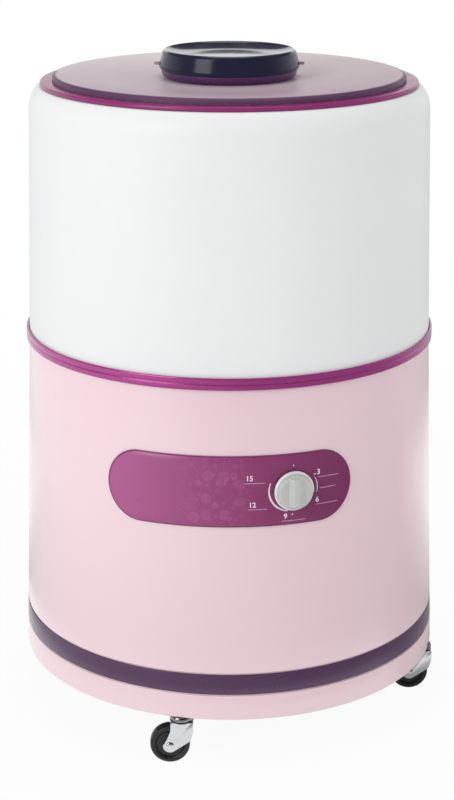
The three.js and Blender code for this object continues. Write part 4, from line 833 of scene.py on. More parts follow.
def make_skirt():
    top_z = STRIPE_Z + STRIPE_WIDTH
    outline = [
        (FOOT_R, FOOT_Z),
        (skirt_radius(STRIPE_Z - STRIPE_SEAM), STRIPE_Z - STRIPE_SEAM),
        (skirt_radius(STRIPE_Z) - STRIPE_GROOVE, STRIPE_Z - STRIPE_SEAM),
        (skirt_radius(top_z) - STRIPE_GROOVE, top_z + STRIPE_SEAM),
        (skirt_radius(top_z), top_z + STRIPE_SEAM),
        (WAIST_R, WAIST_Z),
        (WAIST_R - SKIRT_FLANGE, WAIST_Z),
        (WAIST_R - SKIRT_FLANGE, WAIST_Z - SKIRT_WALL),
        (WAIST_R - SKIRT_WALL, WAIST_Z - SKIRT_WALL),
        (FOOT_R - SKIRT_WALL, FOOT_Z),
    ]
    skirt = make_object("skirt_shell", *lathe(soften(outline, 1.0), BODY_SEGMENTS))
    combine(skirt, [
        wall_tool("timer_hole", BUSH_R + GAP, TIMER_AZIMUTH, TIMER_Z),
        wall_tool("drain_way", DRAIN_PIPE_R + 1, DRAIN_AZIMUTH, DRAIN_Z),
        wall_tool("gland_way", GLAND_R + GAP, GLAND_AZIMUTH, GLAND_Z),
    ])
    dress(skirt, PINK, "machine", ["skirt"])
    low, high = STRIPE_Z + STRIPE_SEAM, top_z - STRIPE_SEAM
    turned("stripe_ring", [
        (skirt_radius(low) - STRIPE_SINK, low), (skirt_radius(low) + STRIPE_STAND, low),
        (skirt_radius(high) + STRIPE_STAND, high), (skirt_radius(high) - STRIPE_SINK, high)],
        BODY_SEGMENTS, STRIPE, "machine", ["stripe_band"], soft=0.7)
    bottom, top, outer = WAIST_Z - BELT_WIDTH / 2, WAIST_Z + BELT_WIDTH / 2, WAIST_R + BELT_THICK
    inner, line = skirt_radius(bottom) + GAP, outer - BELT_LINE_DEPTH
    turned("belt_ring", [
        (inner, bottom), (outer, bottom),
        (outer, WAIST_Z - BELT_LINE_MOUTH), (line, WAIST_Z - BELT_LINE_FLOOR),
        (line, WAIST_Z + BELT_LINE_FLOOR), (outer, WAIST_Z + BELT_LINE_MOUTH),
        (outer, top), (inner, top)],
        BODY_SEGMENTS, MAGENTA, "machine", ["belt_trim"], soft=2.2)


# Base pan with slots, and its four bosses
def make_base():
    inside = skirt_radius(FOOT_Z) - SKIRT_WALL - GAP
    rim_z = FOOT_Z + PAN_RISE
    rim_r = skirt_radius(rim_z) - SKIRT_WALL - GAP
    outline = [
        (PAN_HOLE_R, FOOT_Z), (inside, FOOT_Z), (rim_r, rim_z), (rim_r - PAN_RIM, rim_z),
        (inside - PAN_RIM, FOOT_Z + PAN_WALL), (PAN_HOLE_R + PAN_WALL, FOOT_Z + PAN_WALL),
        (PAN_HOLE_R + PAN_WALL, FOOT_Z + PAN_COLLAR), (PAN_HOLE_R, FOOT_Z + PAN_COLLAR),
    ]
    pan = make_object("base_pan", *lathe(soften(outline, 1.2), 120))
    slot = soften(oblong(PAN_SLOT_IN, PAN_SLOT_OUT, PAN_SLOT_HALF), PAN_SLOT_HALF - 0.1, 4)
    turns = [math.tau * (i + 0.5) / PAN_SLOTS for i in range(PAN_SLOTS)]
    combine(pan, [make_object("pan_slot", *prism(slot, FOOT_Z - 5, FOOT_Z + PAN_WALL + 5),
                              Matrix.Rotation(turn, 4, "Z")) for turn in turns])
    bosses = []
    for azimuth in [pair[0] for pair in CASTERS.values()]:
        place = Matrix.Translation(facing(math.radians(azimuth), CASTER_R, 0).translation)
        sleeve = [(STEM_R + GAP, FOOT_Z - 1), (BOSS_R, FOOT_Z + 1), (BOSS_R, FOOT_Z + BOSS_RISE),
                  (STEM_R + GAP, FOOT_Z + BOSS_RISE)]
        bosses.append(make_object("boss", *lathe(sleeve, 32), place))
        combine(pan, [rod("stem_hole", STEM_R + GAP, FOOT_Z - 8, FOOT_Z + BOSS_RISE + 14, 32, place)])
    merge_meshes(pan, bosses)
    dress(pan, BLACK, "machine", ["base_frame"])


# Lid and its grip
def make_lid():
    inner, foot_z, under_z = SPIGOT_R - RIM_WALL, RIM_Z - SPIGOT_DEEP, RIM_TOP_Z - LID_WALL
    turned("lid_outer_ring", [
        (RIM_R - RIM_WIDE, RIM_TOP_Z), (RIM_R - RIM_WIDE, under_z), (inner, under_z), (inner, foot_z),
        (SPIGOT_R, foot_z), (SPIGOT_R, RIM_Z), (RIM_R, RIM_Z), (RIM_R, RIM_TOP_Z)],
        BODY_SEGMENTS, RIM_MAGENTA, "lid", ["lid_rim"], soft=2.6, steps=5)
    rise = LID_TOP_Z - DISH_Z
    shoulder = LID_R - LID_EDGE_WIDE
    top = [(shoulder - (shoulder - DISH_R) * i / 12, LID_TOP_Z - rise * (1 - math.cos(math.pi * i / 12)) / 2)
           for i in range(13)]
    under = [(r - LID_WALL / 2, z - LID_WALL) for r, z in reversed(top)]
    edge = arc(shoulder, LID_TOP_Z - LID_EDGE_HIGH, LID_EDGE_WIDE, LID_EDGE_HIGH, 0, QUARTER, CORNER_STEPS)
    turned("lid_disc", [
        (SCREW_R + GAP, DISH_Z), (SCREW_R + GAP, DISH_Z - LID_WALL), *under,
        (LID_R - LID_WALL, LID_TOP_Z - LID_EDGE_HIGH - 0.5), (LID_R - LID_WALL, LID_Z), (LID_R, LID_Z), *edge,
        *top[1:]], BODY_SEGMENTS, SMOKED, "lid", ["lid_panel"])
    floor_z = COLLAR_Z + HANDLE_WALL
    turned("grip_collar", [
        (SCREW_R + GAP, COLLAR_Z),
        *arc(COLLAR_FOOT_R, COLLAR_TOP_Z, COLLAR_TOP_R - COLLAR_FOOT_R, COLLAR_TOP_Z - COLLAR_Z, -QUARTER, 0,
             CORNER_STEPS),
        (COLLAR_FOOT_R - HANDLE_WALL, COLLAR_TOP_Z), (COLLAR_FOOT_R - HANDLE_WALL, floor_z),
        (SCREW_R + GAP, floor_z)], 120, COLLAR, "lid", ["lid_handle_collar"])
    make_grip()


def make_grip():
    under_z = HANDLE_TOP_Z - HANDLE_DISH_DEPTH - HANDLE_WALL
    inner = COLLAR_FOOT_R - HANDLE_WALL
    dish = []
    for i in range(EDGE_STEPS + 1):
        share = 1 - i / EDGE_STEPS
        fall = (HANDLE_DISH_DEPTH - HANDLE_SINK) * (1 - share ** HANDLE_DISH_POWER)
        dish.append((HANDLE_DISH_R * share, HANDLE_TOP_Z - HANDLE_SINK - fall))
    lip = arc(HANDLE_R - HANDLE_DRAFT - HANDLE_LIP, HANDLE_TOP_Z - HANDLE_LIP_HIGH,
              HANDLE_LIP, HANDLE_LIP_HIGH, 0, QUARTER, EDGE_STEPS)
    foot = arc(HANDLE_R - 3.4, HANDLE_Z + 5, 3, 5, -QUARTER, 0, CORNER_STEPS)
    grip = make_object("grip_disc", *lathe([
        (inner, HANDLE_Z), *foot, *lip, *dish, (0, under_z), (inner, under_z)], 144))
    low = COLLAR_Z + HANDLE_WALL + GAP
    combine(grip, [tube("screw_boss", SCREW_R + GAP, 10, low, under_z + GAP, 40)], "UNION")
    dress(grip, NAVY, "lid", ["lid_handle_ring"])
    tab = soften(oblong(HANDLE_R - 3, LUG_R, LUG_HALF), 1.6, 3)
    for side, angle in (("right", 0), ("left", math.pi)):
        turn = Matrix.Rotation(angle, 4, "Z")
        lug = make_object(f"grip_tab_{side}", *prism(tab, LUG_Z, LUG_Z + LUG_HIGH), turn)
        dress(round_edges(lug, 0.6), LUG, "lid")
    head_z = DISH_Z - LID_WALL - GAP
    turned("grip_screw", [
        (0, head_z - 2.2), (3, head_z - 2.4), (3.4, head_z - 4), (8, head_z - 3.4), (9, head_z - 2),
        (9, head_z), (SCREW_R, head_z), (SCREW_R, under_z - GAP), (0, under_z - GAP)],
        32, ZINC, "lid", ["lid_handle_screw"], soft=0.6)


# Control plate and what is printed on it
def on_plate(x, z, lift):
    """A point of the plate's own flat drawing, bent round the skirt; lift is from the skirt's wall."""
    radius = skirt_radius(z) + GAP + lift
    return facing(PLATE_AZIMUTH, 0, 0) @ Vector((x, z, math.sqrt(radius * radius - x * x)))


def plate_grid(inset, lift):
    """Columns of points over the plate's outline, drawn in by an inset."""
    half_wide, half_high = PLATE_WIDE / 2 - inset, PLATE_HIGH / 2 - inset
    end = PLATE_END - inset
    points = []
    for i in range(PLATE_COLUMNS + 1):
        x = -half_wide * math.cos(math.pi * i / PLATE_COLUMNS)
        beyond = max(0.0, abs(x) - (half_wide - end)) / end
        high = half_high * math.sqrt(max(0.0, 1 - beyond * beyond))
        heights = [PLATE_Z + high * (2 * j / PLATE_ROWS - 1) for j in range(PLATE_ROWS + 1)]
        points += [on_plate(x, z, lift) for z in heights]
    return points


def make_plate():
    layers = [plate_grid(0, 0), plate_grid(0, PLATE_THICK - PLATE_EDGE_ROUND),
              plate_grid(PLATE_EDGE_ROUND, PLATE_THICK)]
    size = len(layers[0])

    def at(layer, i, j):
        return layer * size + i * (PLATE_ROWS + 1) + j

    faces = []
    for i in range(PLATE_COLUMNS):
        for j in range(PLATE_ROWS):
            faces += [(at(layer, i, j), at(layer, i + 1, j), at(layer, i + 1, j + 1), at(layer, i, j + 1))
                      for layer in (0, 2)]
        for layer in (0, 1):
            faces += [(at(layer, i, j), at(layer, i + 1, j), at(layer + 1, i + 1, j), at(layer + 1, i, j))
                      for j in (0, PLATE_ROWS)]
    plate = make_object("printed_plate", sum(layers, []), faces)
    combine(plate, [wall_tool("bush_hole", BUSH_R + GAP, TIMER_AZIMUTH, TIMER_Z)])
    dress(plate, PLATE, "machine", ["control_plate"], angle=50)
    make_plate_outline()


def strip(name, path, width, lift, material, taper=0.0):
    """A printed line along a path in the plate's flat drawing; taper thins its ends."""
    points = [Vector(p) for p in path]
    last = len(points) - 1
    verts = []
    for i, here in enumerate(points):
        along = points[min(i + 1, last)] - points[max(i - 1, 0)]
        wide = width * (1 - taper * abs(2 * i / last - 1) ** 2)
        side = Vector((-along.y, along.x)).normalized() * wide / 2
        for edge, level in ((side, 0), (side, INK_THICK), (-side, INK_THICK), (-side, 0)):
            spot = here + edge
            verts.append(on_plate(spot.x, spot.y, lift + level))
    faces = [(4 * i + k, 4 * i + (k + 1) % 4, 4 * i + 4 + (k + 1) % 4, 4 * i + 4 + k)
             for i in range(last) for k in range(4)]
    faces += [(0, 1, 2, 3), tuple(range(4 * last, 4 * last + 4))]
    return dress(make_object(name, verts, faces, merge=0.001), material, "machine")


def make_plate_outline():
    """Thin dark line along the plate's edge."""
    steps, joints = 24, 30
    half_wide, half_high = PLATE_WIDE / 2 - BORDER_INSET, PLATE_HIGH / 2 - BORDER_INSET
    end = PLATE_END - BORDER_INSET
    path = []
    for side in (1, -1):
        centre = side * (half_wide - end)
        path += arc(centre, PLATE_Z, end, half_high, -side * QUARTER, math.pi - side * QUARTER, steps)
        first = Vector(path[-1])
        path += [tuple(first.lerp(Vector((-centre, first.y)), i / joints)) for i in range(1, joints)]
    strip("plate_border", [*path, path[0]], BORDER_WIDE, PLATE_THICK - BORDER_SINK, PLATE_EDGE)


def number(text, x, z):
    """A number as a mesh bent onto the plate."""
    curve = bpy.data.curves.new("number_" + text, "FONT")
    curve.body = text
    curve.size = DIGIT_SIZE
    curve.align_x = "CENTER"
    curve.align_y = "CENTER"
    curve.extrude = DIGIT_THICK / 2
    curve.offset = DIGIT_WEIGHT
    curve.resolution_u = 4
    holder = linked("number_" + text, curve)
    bpy.context.view_layer.update()
    mesh = bpy.data.meshes.new_from_object(holder.evaluated_get(bpy.context.evaluated_depsgraph_get()))
    bpy.data.objects.remove(holder)
    verts = [on_plate(x + v.co.x, z + v.co.y, PLATE_THICK + DIGIT_LIFT + v.co.z) for v in mesh.vertices]
    faces = [tuple(p.vertices) for p in mesh.polygons]
    return make_object("number_" + text, verts, faces, merge=0.0005)


# Dial, as places on the plate's flat drawing: the numbers, short rules beside them, arcs and ticks
DIAL_NUMBERS = (
    ("15", 25, 397.4), ("12", 28.7, 362.4), ("9", 70.6, 344.9), ("6", 110.9, 362.2), ("3", 112.1, 398.7))
DIAL_RULES = (
    (31.6, 391.1, 13), (35.5, 356.5, 12), (80.9, 338.9, 15), (124.8, 391.9, 13), (124.3, 377.1, 10),
    (122.9, 356.2, 14))
DIAL_ARCS = (("dial_arc_left", (-3, 0.8), 158, 262, 27.8, 2.4), ("dial_arc_right", (0, 0), -12, 27, 30.5, 1))
DIAL_TICKS = (268, 33, 90)
TICK_REACHES = (31, 32.2, 33.4)
DIGIT_SIZE = 9.4
DIGIT_THICK = 0.12
DIGIT_WEIGHT = 0.16
DIGIT_LIFT = 0.05
RULE_WIDE = 0.8
TICK_WIDE = 1


def make_dial():
    lift = PLATE_THICK + INK_LIFT
    distance = skirt_radius(TIMER_Z) + GAP + PLATE_THICK
    centre = Vector((distance * math.sin(TIMER_AZIMUTH - PLATE_AZIMUTH), TIMER_Z))
    for text, x, z in DIAL_NUMBERS:
        dress(number(text, x, z), INK, "machine")
    for i, (x, z, half) in enumerate(DIAL_RULES):
        strip(f"rule_{i + 1}", [(x + half * k / 4, z) for k in range(-4, 5)], RULE_WIDE, lift, FAINT_INK)
    for i, degrees in enumerate(DIAL_TICKS):
        away = Vector((math.cos(math.radians(degrees)), math.sin(math.radians(degrees))))
        strip(f"tick_{i + 1}", [centre + away * reach for reach in TICK_REACHES], TICK_WIDE, lift, INK)
    for label, shift, start, end, radius, width in DIAL_ARCS:
        middle = centre + Vector(shift)
        path = arc(middle.x, middle.y, radius, radius, math.radians(start), math.radians(end), 36)
        strip(label, path, width, lift, INK, taper=0.6)


# Timer and its knob
def make_timer():
    wall = (skirt_radius(TIMER_Z + CASE_HALF_HIGH) - SKIRT_WALL) * math.cos(math.radians(5)) - GAP
    face = math.sqrt(wall ** 2 - CASE_HALF_WIDE ** 2)
    back = skirt_radius(TIMER_Z - KNOB_R) + GAP + PLATE_THICK + KNOB_CLEARANCE
    place = facing(TIMER_AZIMUTH, face, TIMER_Z)
    outline = oblong(-CASE_HALF_WIDE, CASE_HALF_WIDE, CASE_HALF_HIGH)
    case = make_object("timer_case", *prism(soften(outline, 4, 4), -CASE_DEEP, 0), place)
    bush_top = skirt_radius(TIMER_Z) - face + 0.5
    combine(case, [tube("bush", SPINDLE_R + GAP, BUSH_R, -CASE_DEEP / 2, bush_top, 32, place)], "UNION")
    combine(case, [rod("bore", SPINDLE_R + GAP, -CASE_DEEP / 2, 40, 32, place)])
    dress(case, BLACK, "machine", ["timer_body"])
    low, high = GAP - CASE_DEEP / 2, back - face + KNOB_BORE - GAP
    turned("timer_spindle", [(0, low), (SPINDLE_R, low), (SPINDLE_R, high), (0, high)], 24, ZINC, "timer",
           ["timer_shaft"], soft=0.5, matrix=place)
    make_knob(facing(TIMER_AZIMUTH, back, TIMER_Z))


def make_knob(place):
    bore, wall, top = SPINDLE_R + GAP, KNOB_CROWN_R + 0.2, KNOB_HEIGHT
    knob = make_object("knob_body", *lathe([
        (bore, KNOB_BORE), (bore, 0), (wall, 0), (wall, 4), (KNOB_CROWN_R, 4.6),
        (KNOB_CROWN_R - 0.8, top - 1.2), (KNOB_CROWN_R - 2.4, top), (12, top - 0.2), (0, top - 0.4),
        (0, KNOB_BORE)], 96), place)
    foot = soften(oblong(-KNOB_BAR_FOOT, KNOB_BAR_FOOT, KNOB_BAR_LONG), 7, 6)
    crest = soften(oblong(-KNOB_BAR_CREST, KNOB_BAR_CREST, KNOB_BAR_LONG - 1), 2, 6)
    shape = loft(foot, top - 2, crest, top + KNOB_RIDGE - 0.2)
    combine(knob, [round_edges(make_object("ridge", *shape, place), 0.8, 3, 30)], "UNION")
    combine(knob, [rod("bore", bore, -5, KNOB_BORE, 24, place)])
    dress(knob, KNOB_GREY, "timer", ["timer_knob"], angle=30)
    inner = KNOB_CROWN_R + GAP
    rim = make_object("knob_rim", *lathe([
        (inner, 0.3), (KNOB_R - 0.6, 0), (KNOB_R, 0.7), (KNOB_R, 2.2), (KNOB_R - 1.2, 3.6),
        (inner, 4)], 96), place)
    notch = make_object("notch", *prism(oblong(16, 32, KNOB_NOTCH / 2), -3, 9),
                        place @ Matrix.Rotation(KNOB_NOTCH_TURN, 4, "Z"))
    dress(combine(rim, [notch]), KNOB_BAR, "timer", angle=30)


# Agitator with its cap
def bell_outline(inset):
    """The bell from its foot to its top, drawn in by an inset; the hollow starts below the foot."""
    foot = AGITATOR_Z - (OVERRUN / 2 if inset else 0)
    flare = [(radius - inset, AGITATOR_Z + rise - inset) for radius, rise in BELL_FLARE]
    return [(0, foot), (AGITATOR_R - inset, foot), *flare, (BELL_TOP_R - inset, AGITATOR_TOP_Z - inset),
            (0, AGITATOR_TOP_Z - inset)]


def make_agitator():
    bell = make_object("agitator_bell", *lathe(soften(bell_outline(0), 6, 5), 144))
    foot_z, inner = AGITATOR_Z + 2.5, BELL_TOP_R / 2
    edge = arc(BELL_TOP_R, foot_z, VANE_REACH, VANE_RISE, 0, QUARTER, 24)
    vane_shape = [(inner, foot_z), *edge, (inner, foot_z + VANE_RISE)]
    vanes = []
    for i in range(VANE_COUNT):
        turn = Matrix.Rotation(math.tau * i / VANE_COUNT, 4, "Z") @ UPRIGHT
        vane = make_object("vane", *prism(vane_shape, -VANE_THICK / 2, VANE_THICK / 2), turn)
        vanes.append(round_edges(vane, 2.4, 3, 50))
    combine(bell, vanes, "UNION")
    combine(bell, [make_object("hollow", *lathe(soften(bell_outline(BELL_WALL), 4, 4), 144))])
    bore, under = SHAFT_R + GAP, AGITATOR_TOP_Z - BELL_WALL
    combine(bell, [tube("hub", bore, HUB_R, AGITATOR_TOP_Z - 90, under + 1, 48)], "UNION")
    combine(bell, [rod("room", bore, TUB_FLOOR_Z, under, 48),
                   rod("hole", SCREW_R + GAP, under - OVERRUN, under + OVERRUN, 24)])
    dress(bell, BLUE_GREY, "agitator_set", ["agitator"], angle=32)
    base, inside, high = AGITATOR_TOP_Z + GAP, BELL_TOP_R - CAP_WALL, CAP_HIGH - CAP_WALL
    turned("agitator_dome", [
        *arc(0, base, BELL_TOP_R, CAP_HIGH, 0, QUARTER, 16)[:-1], (0, base + CAP_HIGH), (0, base + high),
        *arc(0, base, inside, high, QUARTER, 0, 16)[1:]], 96, BLUE_GREY, "agitator_set", ["agitator_cap"])
    ring_of_bars("agitator_scrub_ribs", BLUE_GREY, "agitator_set", Count=24, Ring_Radius=43.2, Height=610,
                 Length=70, Half_Width=2.4, Depth_Share=0.8)


# Drive under the tub, seen from below through the pan
def make_drive():
    turn = Matrix.Rotation(MOTOR_AZIMUTH - math.pi, 4, "Z")
    motor_place = turn @ Matrix.Translation((0, MOTOR_OFFSET, 0))
    top, bore = DRIVE_TOP_Z, SHAFT_R + GAP
    gear_z, low = top - GEAR_HIGH, top - MOTOR_HIGH
    neck_z, flange, core_z = gear_z - GEAR_NECK_LONG, top - GEAR_FLANGE_THICK, top - GEAR_BORE_DEEP
    turned("gearbox_case", [
        (bore, neck_z), (GEAR_NECK_R, neck_z), (GEAR_NECK_R, gear_z), (GEAR_R, gear_z), (GEAR_R, flange),
        (GEAR_R + GEAR_FLANGE, flange), (GEAR_R + GEAR_FLANGE, top), (bore, top), (bore, core_z), (0, core_z),
        (0, core_z - GEAR_CORE), (bore, core_z - GEAR_CORE)],
        72, CAST, "machine", ["gearbox_housing"], soft=2.5)
    ring_of_bars("gearbox_ribs", CAST, "machine", Count=12, Ring_Radius=GEAR_R, Height=286, Length=58,
                 Half_Width=1.8)
    shaft = MOTOR_SHAFT_R + GAP
    turned("motor_case", [
        (shaft, low), (MOTOR_END_R, low), (MOTOR_R, low + MOTOR_END_HIGH), (MOTOR_R, top - MOTOR_END_HIGH),
        (MOTOR_END_R, top), (0, top), (0, low + MOTOR_BORE_DEEP), (shaft, low + MOTOR_BORE_DEEP)],
        72, MOTOR_PAINT, "machine", ["motor_body"], soft=2.5, matrix=motor_place)
    ring_of_bars("motor_fins", MOTOR_PAINT, "machine", matrix=motor_place, Count=32,
                 Ring_Radius=MOTOR_R - 0.4, Height=286.4, Length=56, Half_Width=1.1)
    make_large_pulley(turn)
    turned("small_pulley", [
        (shaft, PULLEY_Z - PULLEY_HALF), *belt_groove(SMALL_PULLEY_R), (shaft, PULLEY_Z + PULLEY_HALF)],
        96, CAST, "motor_rotor", ["motor_pulley"], soft=1.0, matrix=motor_place)


def belt_groove(outer):
    """The outside of a pulley with its groove for the belt, from its lower edge to its upper."""
    groove = outer - GROOVE_DEEP
    lower = [(outer, -PULLEY_HALF), (outer, -GROOVE_HALF), (groove, 0.5 - GROOVE_HALF)]
    return [(r, PULLEY_Z + z) for r, z in lower] + [(r, PULLEY_Z - z) for r, z in reversed(lower)]


def make_large_pulley(place):
    bore, rim = PULLEY_BORE_R, LARGE_PULLEY_R - GROOVE_DEEP - PULLEY_RIM
    low, high = PULLEY_Z - PULLEY_HALF, PULLEY_Z + PULLEY_HALF
    under, over = PULLEY_Z - WEB_HALF, PULLEY_Z + WEB_HALF
    neck = DRIVE_TOP_Z - GEAR_BORE_DEEP - GEAR_CORE - GAP
    shape = [
        (bore, low), (PULLEY_HUB_R, low), (PULLEY_HUB_R, under), (rim, under), (rim, low),
        *belt_groove(LARGE_PULLEY_R), (rim, high), (rim, over), (PULLEY_HUB_R, over), (PULLEY_HUB_R, high),
        (SHAFT_R, high), (SHAFT_R, neck), (bore, neck)]
    pulley = make_object("large_pulley", *lathe(soften(shape, 1.0), 96), place)
    turns = [math.tau * i / PULLEY_HOLES for i in range(PULLEY_HOLES)]
    combine(pulley, [rod("lightening", 17, 210, 240, 40, place @ Matrix.Rotation(turn, 4, "Z")
                         @ Matrix.Translation((PULLEY_HOLE_PLACE, 0, 0))) for turn in turns])
    dress(pulley, CAST, "gearbox_input", ["driven_pulley"])


# Drain pipe, strainer and cord gland
def make_drain_pipe():
    place = facing(DRAIN_AZIMUTH, DRAIN_DISTANCE, DRAIN_Z)
    drop = TUB_FLOOR_Z - GAP - DRAIN_Z
    reach = skirt_radius(DRAIN_Z) + DRAIN_STUB - DRAIN_DISTANCE
    path = [Vector((0, drop, 0)), Vector((0, drop - DRAIN_DROP, 0))]
    path += [Vector((0, DRAIN_BEND * (1 - i / 12) ** 2, DRAIN_BEND * (i / 12) ** 2)) for i in range(13)]
    path += [Vector((0, 0, DRAIN_BEND + (reach - DRAIN_BEND) * i / 4)) for i in range(1, 5)]
    count, sides, across = len(path), 40, Vector((1, 0, 0))
    verts, faces = [], []
    for radius in (DRAIN_PIPE_R, DRAIN_BORE_R):
        ring = arc(0, 0, radius, radius, 0, math.tau, sides)[:-1]
        for i, here in enumerate(path):
            ahead = (path[min(i + 1, count - 1)] - path[max(i - 1, 0)]).normalized()
            up = ahead.cross(across)
            verts += [here + across * x + up * y for x, y in ring]

    def at(layer, i, k):
        return (layer * count + i) * sides + k % sides

    for k in range(sides):
        faces += [(at(layer, i, k), at(layer, i, k + 1), at(layer, i + 1, k + 1), at(layer, i + 1, k))
                  for layer in (0, 1) for i in range(count - 1)]
        faces += [(at(0, i, k), at(0, i, k + 1), at(1, i, k + 1), at(1, i, k)) for i in (0, count - 1)]
    pipe = make_object("drain_bend", verts, faces, place)
    dress(round_edges(pipe, 0.5), BLACK, "machine", ["drain_pipe"])


def make_services():
    make_drain_pipe()
    over_drain = Matrix.Translation((0, DRAIN_DISTANCE, 0))
    low = TUB_FLOOR_Z + TUB_WALL + GAP
    high = low + STRAINER_THICK
    strainer = make_object("strainer_disc", *lathe(soften([
        (0, low), (STRAINER_R, low), (STRAINER_R, high - 0.8), (STRAINER_R - 2, high), (0, high)], 0.8), 64),
        over_drain)
    slots = []
    for i in range(-2, 3):
        middle, long = i * STRAINER_PITCH, 9 if abs(i) < 2 else 6
        slot = soften(oblong(middle - STRAINER_SLOT / 2, middle + STRAINER_SLOT / 2, long), 1.3, 4)
        slots.append(make_object("slot", *prism(slot, low - OVERRUN, high + OVERRUN), over_drain))
    dress(combine(strainer, slots), KNOB_GREY, "machine", ["drain_strainer"])
    turned("gland_bush", [
        (GLAND_BORE_R, -GLAND_REACH), (GLAND_R, -GLAND_REACH), (GLAND_R, 1), (GLAND_HEAD_R, 1),
        (GLAND_HEAD_R, 4), (GLAND_HEAD_R - 3, 6), (GLAND_BORE_R, 6)], 48, BLACK, "machine", ["cord_gland"],
        soft=0.8, matrix=facing(GLAND_AZIMUTH, skirt_radius(GLAND_Z), GLAND_Z))


# Casters
def make_caster(place, azimuth, heading):
    spot = facing(math.radians(azimuth), CASTER_R, 0).translation
    pivot = Matrix.Translation(spot) @ Matrix.Rotation(math.radians(heading), 4, "Z")
    cup = [(radius, CUP_Z + rise) for radius, rise in CUP_PROFILE]
    turned(f"{place}_cup", [
        *cup, (STEM_R, cup[-1][1]), (STEM_R, STEM_TOP_Z - 1.5), (STEM_R - 0.6, STEM_TOP_Z), (0, STEM_TOP_Z)],
        64, DARK_STEEL, "machine", [f"{place}_caster_stem"], soft=0.5, matrix=pivot)
    make_fork(place, pivot)
    axle = pivot @ Matrix.Translation((-FORK_TRAIL, 0, WHEEL_R)) @ UPRIGHT
    rivet = [(r, -z) for r, z in RIVET_HALF] + [(r, z) for r, z in reversed(RIVET_HALF)]
    turned(f"{place}_rivet", rivet, 32, CHROME, f"{place}_swivel", [f"{place}_caster_axle"], soft=0.5,
           matrix=axle)
    wheel = [*WHEEL_HALF, *[(r, -w) for r, w in reversed(WHEEL_HALF)]]
    turned(f"{place}_wheel_tread", wheel, 96, TREAD, f"{place}_wheel", [f"{place}_caster_wheel"], soft=0.7,
           matrix=axle, steps=2)


def make_fork(place, pivot):
    under = FORK_TOP_Z - FORK_WALL
    leg = [
        (CUP_R, FORK_TOP_Z), (FORK_REAR, FORK_TOP_Z), (FORK_REAR, FORK_TOP_Z - 12),
        (FORK_REAR - FORK_EYE_R / 2, WHEEL_R + FORK_EYE_R),
        *arc(-FORK_TRAIL, WHEEL_R, FORK_EYE_R, FORK_EYE_R, math.pi, math.radians(306), 16),
        *FORK_FRONT]
    fork = make_object("fork", *prism(soften(leg, 3, 4), -FORK_HALF, FORK_HALF), pivot @ UPRIGHT)
    room, inside = [(-40, under), (-40, 0), (40, 0), (40, under)], FORK_HALF - FORK_SHEET
    combine(fork, [make_object("room", *prism(room, -inside, inside), pivot @ UPRIGHT)])
    combine(fork, [rod("disc", CUP_R, under, FORK_TOP_Z, 48, pivot)], "UNION")
    combine(fork, [rod("hole", RIVET_R + GAP, -20, 20, 32,
                       pivot @ Matrix.Translation((-FORK_TRAIL, 0, WHEEL_R)) @ UPRIGHT)])
    fork.name = f"{place}_fork_legs"
    dress(round_edges(fork, 0.6, 2, 40), CHROME, f"{place}_swivel", [f"{place}_caster_fork"])


make_tub()
make_skirt()
make_base()
make_lid()
make_plate()
make_dial()
make_timer()
make_agitator()
make_drive()
make_services()
for place, (azimuth, heading) in CASTERS.items():
    make_caster(place, azimuth, heading)

# Nodes whose own shape stays, with their finishes
KEPT = {
    "agitator_bolt": ZINC, "agitator_shaft": ZINC, "shaft_seal": RUBBER, "drive_bracket": ZINC,
    "drive_belt": RUBBER, "motor_shaft": ZINC, "capacitor": ZINC, "capacitor_clip": BLACK,
}
for name, material in KEPT.items():
    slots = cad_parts[name].data.materials
    slots.clear()
    slots.append(material)


# Floor, world, lights and camera
def make_floor():
    """A pale floor that keeps the shadow and is white to the camera; to glossy rays it glows, brightest at
    the sides and close round the machine's foot, as a painted reflection on the body.
    """
    half = FLOOR_HALF
    floor = make_object("floor", [(-half, -half, 0), (half, -half, 0), (half, half, 0), (-half, half, 0)],
                        [(0, 1, 2, 3)])
    material = bpy.data.materials.new("pale_floor")
    material.use_nodes = True
    tree = material.node_tree
    shader = tree.nodes["Principled BSDF"]
    shader.inputs["Base Color"].default_value = (0.9, 0.9, 0.9, 1)
    shader.inputs["Roughness"].default_value = 0.9
    shader.inputs["Specular IOR Level"].default_value = 0.1
    place, x, y = object_place(tree)[:3]
    reach = add(tree, "ShaderNodeVectorMath", {0: place}, operation="LENGTH").outputs["Value"]
    # X runs to the viewer's right, Y away from the viewer and reach out from the machine, in metres
    behind = times(tree, spread(tree, y, -0.1, 0.6), spread(tree, reach, 1.2, 1.7, 1.0, 0.5))
    beside = larger(tree, spread(tree, x, -1.3, 0.4, 1.0, 0.3), behind)
    wide = times(tree, beside, spread(tree, y, -4.5, -2.4, 0.35, 1.0))
    side = larger(tree, spread(tree, y, -0.2, -0.1, 1.0, 0.4), spread(tree, x, -0.1, 0.1, 1.0, 0.0))
    near = times(tree, spread(tree, reach, 0.46, 0.58, 1.0, 0.0), side)
    path = add(tree, "ShaderNodeLightPath").outputs
    # Painted reflection: the floor glows for glossy rays only, in these patches.
    mirrored = times(tree, path["Is Glossy Ray"], larger(tree, wide, near))
    glow = add(tree, "ShaderNodeEmission",
               {"Color": (1, 1, 1, 1), "Strength": larger(tree, path["Is Camera Ray"], mirrored)}).outputs[0]
    shown = times(tree, path["Is Camera Ray"], spread(tree, reach, 0.6, 2.0, 0.94, 1.0))
    share = larger(tree, shown, path["Is Glossy Ray"])
    mixed = add(tree, "ShaderNodeMixShader", {0: share, 1: shader.outputs[0], 2: glow}).outputs[0]
    tree.links.new(mixed, tree.nodes["Material Output"].inputs["Surface"])
    floor.data.materials.append(material)


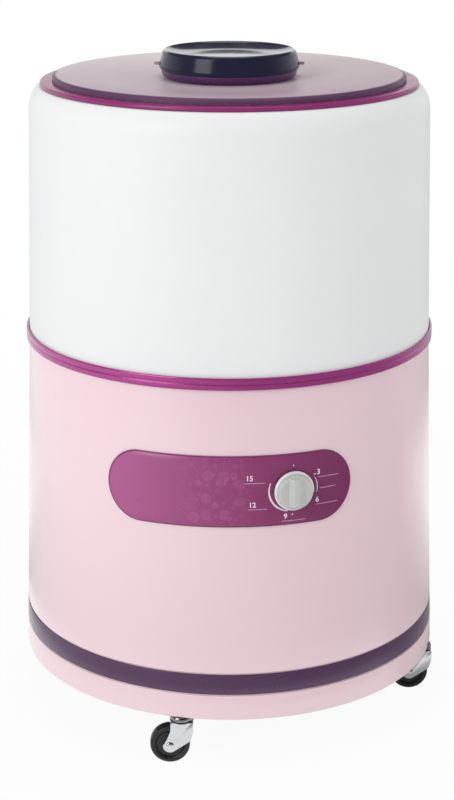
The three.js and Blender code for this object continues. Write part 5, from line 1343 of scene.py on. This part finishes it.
def make_world():
    """A white backdrop for the camera, a low bright band for gloss and a soft even light for the rest."""
    world = bpy.data.worlds.new("studio")
    bpy.context.scene.world = world
    world.use_nodes = True
    tree = world.node_tree
    path = add(tree, "ShaderNodeLightPath").outputs
    way = add(tree, "ShaderNodeTexCoord").outputs["Generated"]
    parts = add(tree, "ShaderNodeSeparateXYZ", {0: way}).outputs
    low = spread(tree, parts[2], 0.33, 0.38, 1.0, 0.1)
    band = times(tree, low, spread(tree, parts[1], -0.3, 0.3, 0.25, 1.0))
    shown = larger(tree, path["Is Camera Ray"], path["Is Transmission Ray"])
    mirrored = times(tree, path["Is Glossy Ray"], band)
    even = times(tree, path["Is Diffuse Ray"], 0.5)
    strength = larger(tree, larger(tree, shown, mirrored), even)
    tree.links.new(strength, tree.nodes["Background"].inputs["Strength"])
    tree.nodes["Background"].inputs["Color"].default_value = (1, 1, 1, 1)


def softbox(name, place, target, wide, high, power, mirrored=True):
    """A broad even light; places in metres, power in watts."""
    data = bpy.data.lights.new(name, "AREA")
    data.shape = "RECTANGLE"
    data.size, data.size_y = wide, high
    data.energy = power
    light = linked(name, data)
    light.visible_glossy = mirrored
    light.location = place
    light.rotation_euler = (Vector(target) - Vector(place)).to_track_quat("-Z", "Y").to_euler()


def place_camera():
    data = bpy.data.cameras.new("photo_camera")
    data.lens = CAMERA_LENS
    data.sensor_width = CAMERA_SENSOR
    camera = linked("photo_camera", data)
    camera.location = Vector(CAMERA_PLACE) * MM
    camera.rotation_euler = (QUARTER - CAMERA_PITCH, 0, 0)
    bpy.context.scene.camera = camera


make_floor()
make_world()
softbox("key_light", (-2.35, -2.45, 1.9), BODY_MIDDLE, wide=1.8, high=2.4, power=58)
softbox("fill_light", (3.0, -1.0, 1.4), BODY_MIDDLE, wide=1.6, high=2.0, power=25, mirrored=False)
softbox("top_light", (0, 0.3, 3.2), LID_MIDDLE, wide=1.6, high=1.6, power=16)
place_camera()
bpy.context.scene.view_settings.view_transform = "Standard"
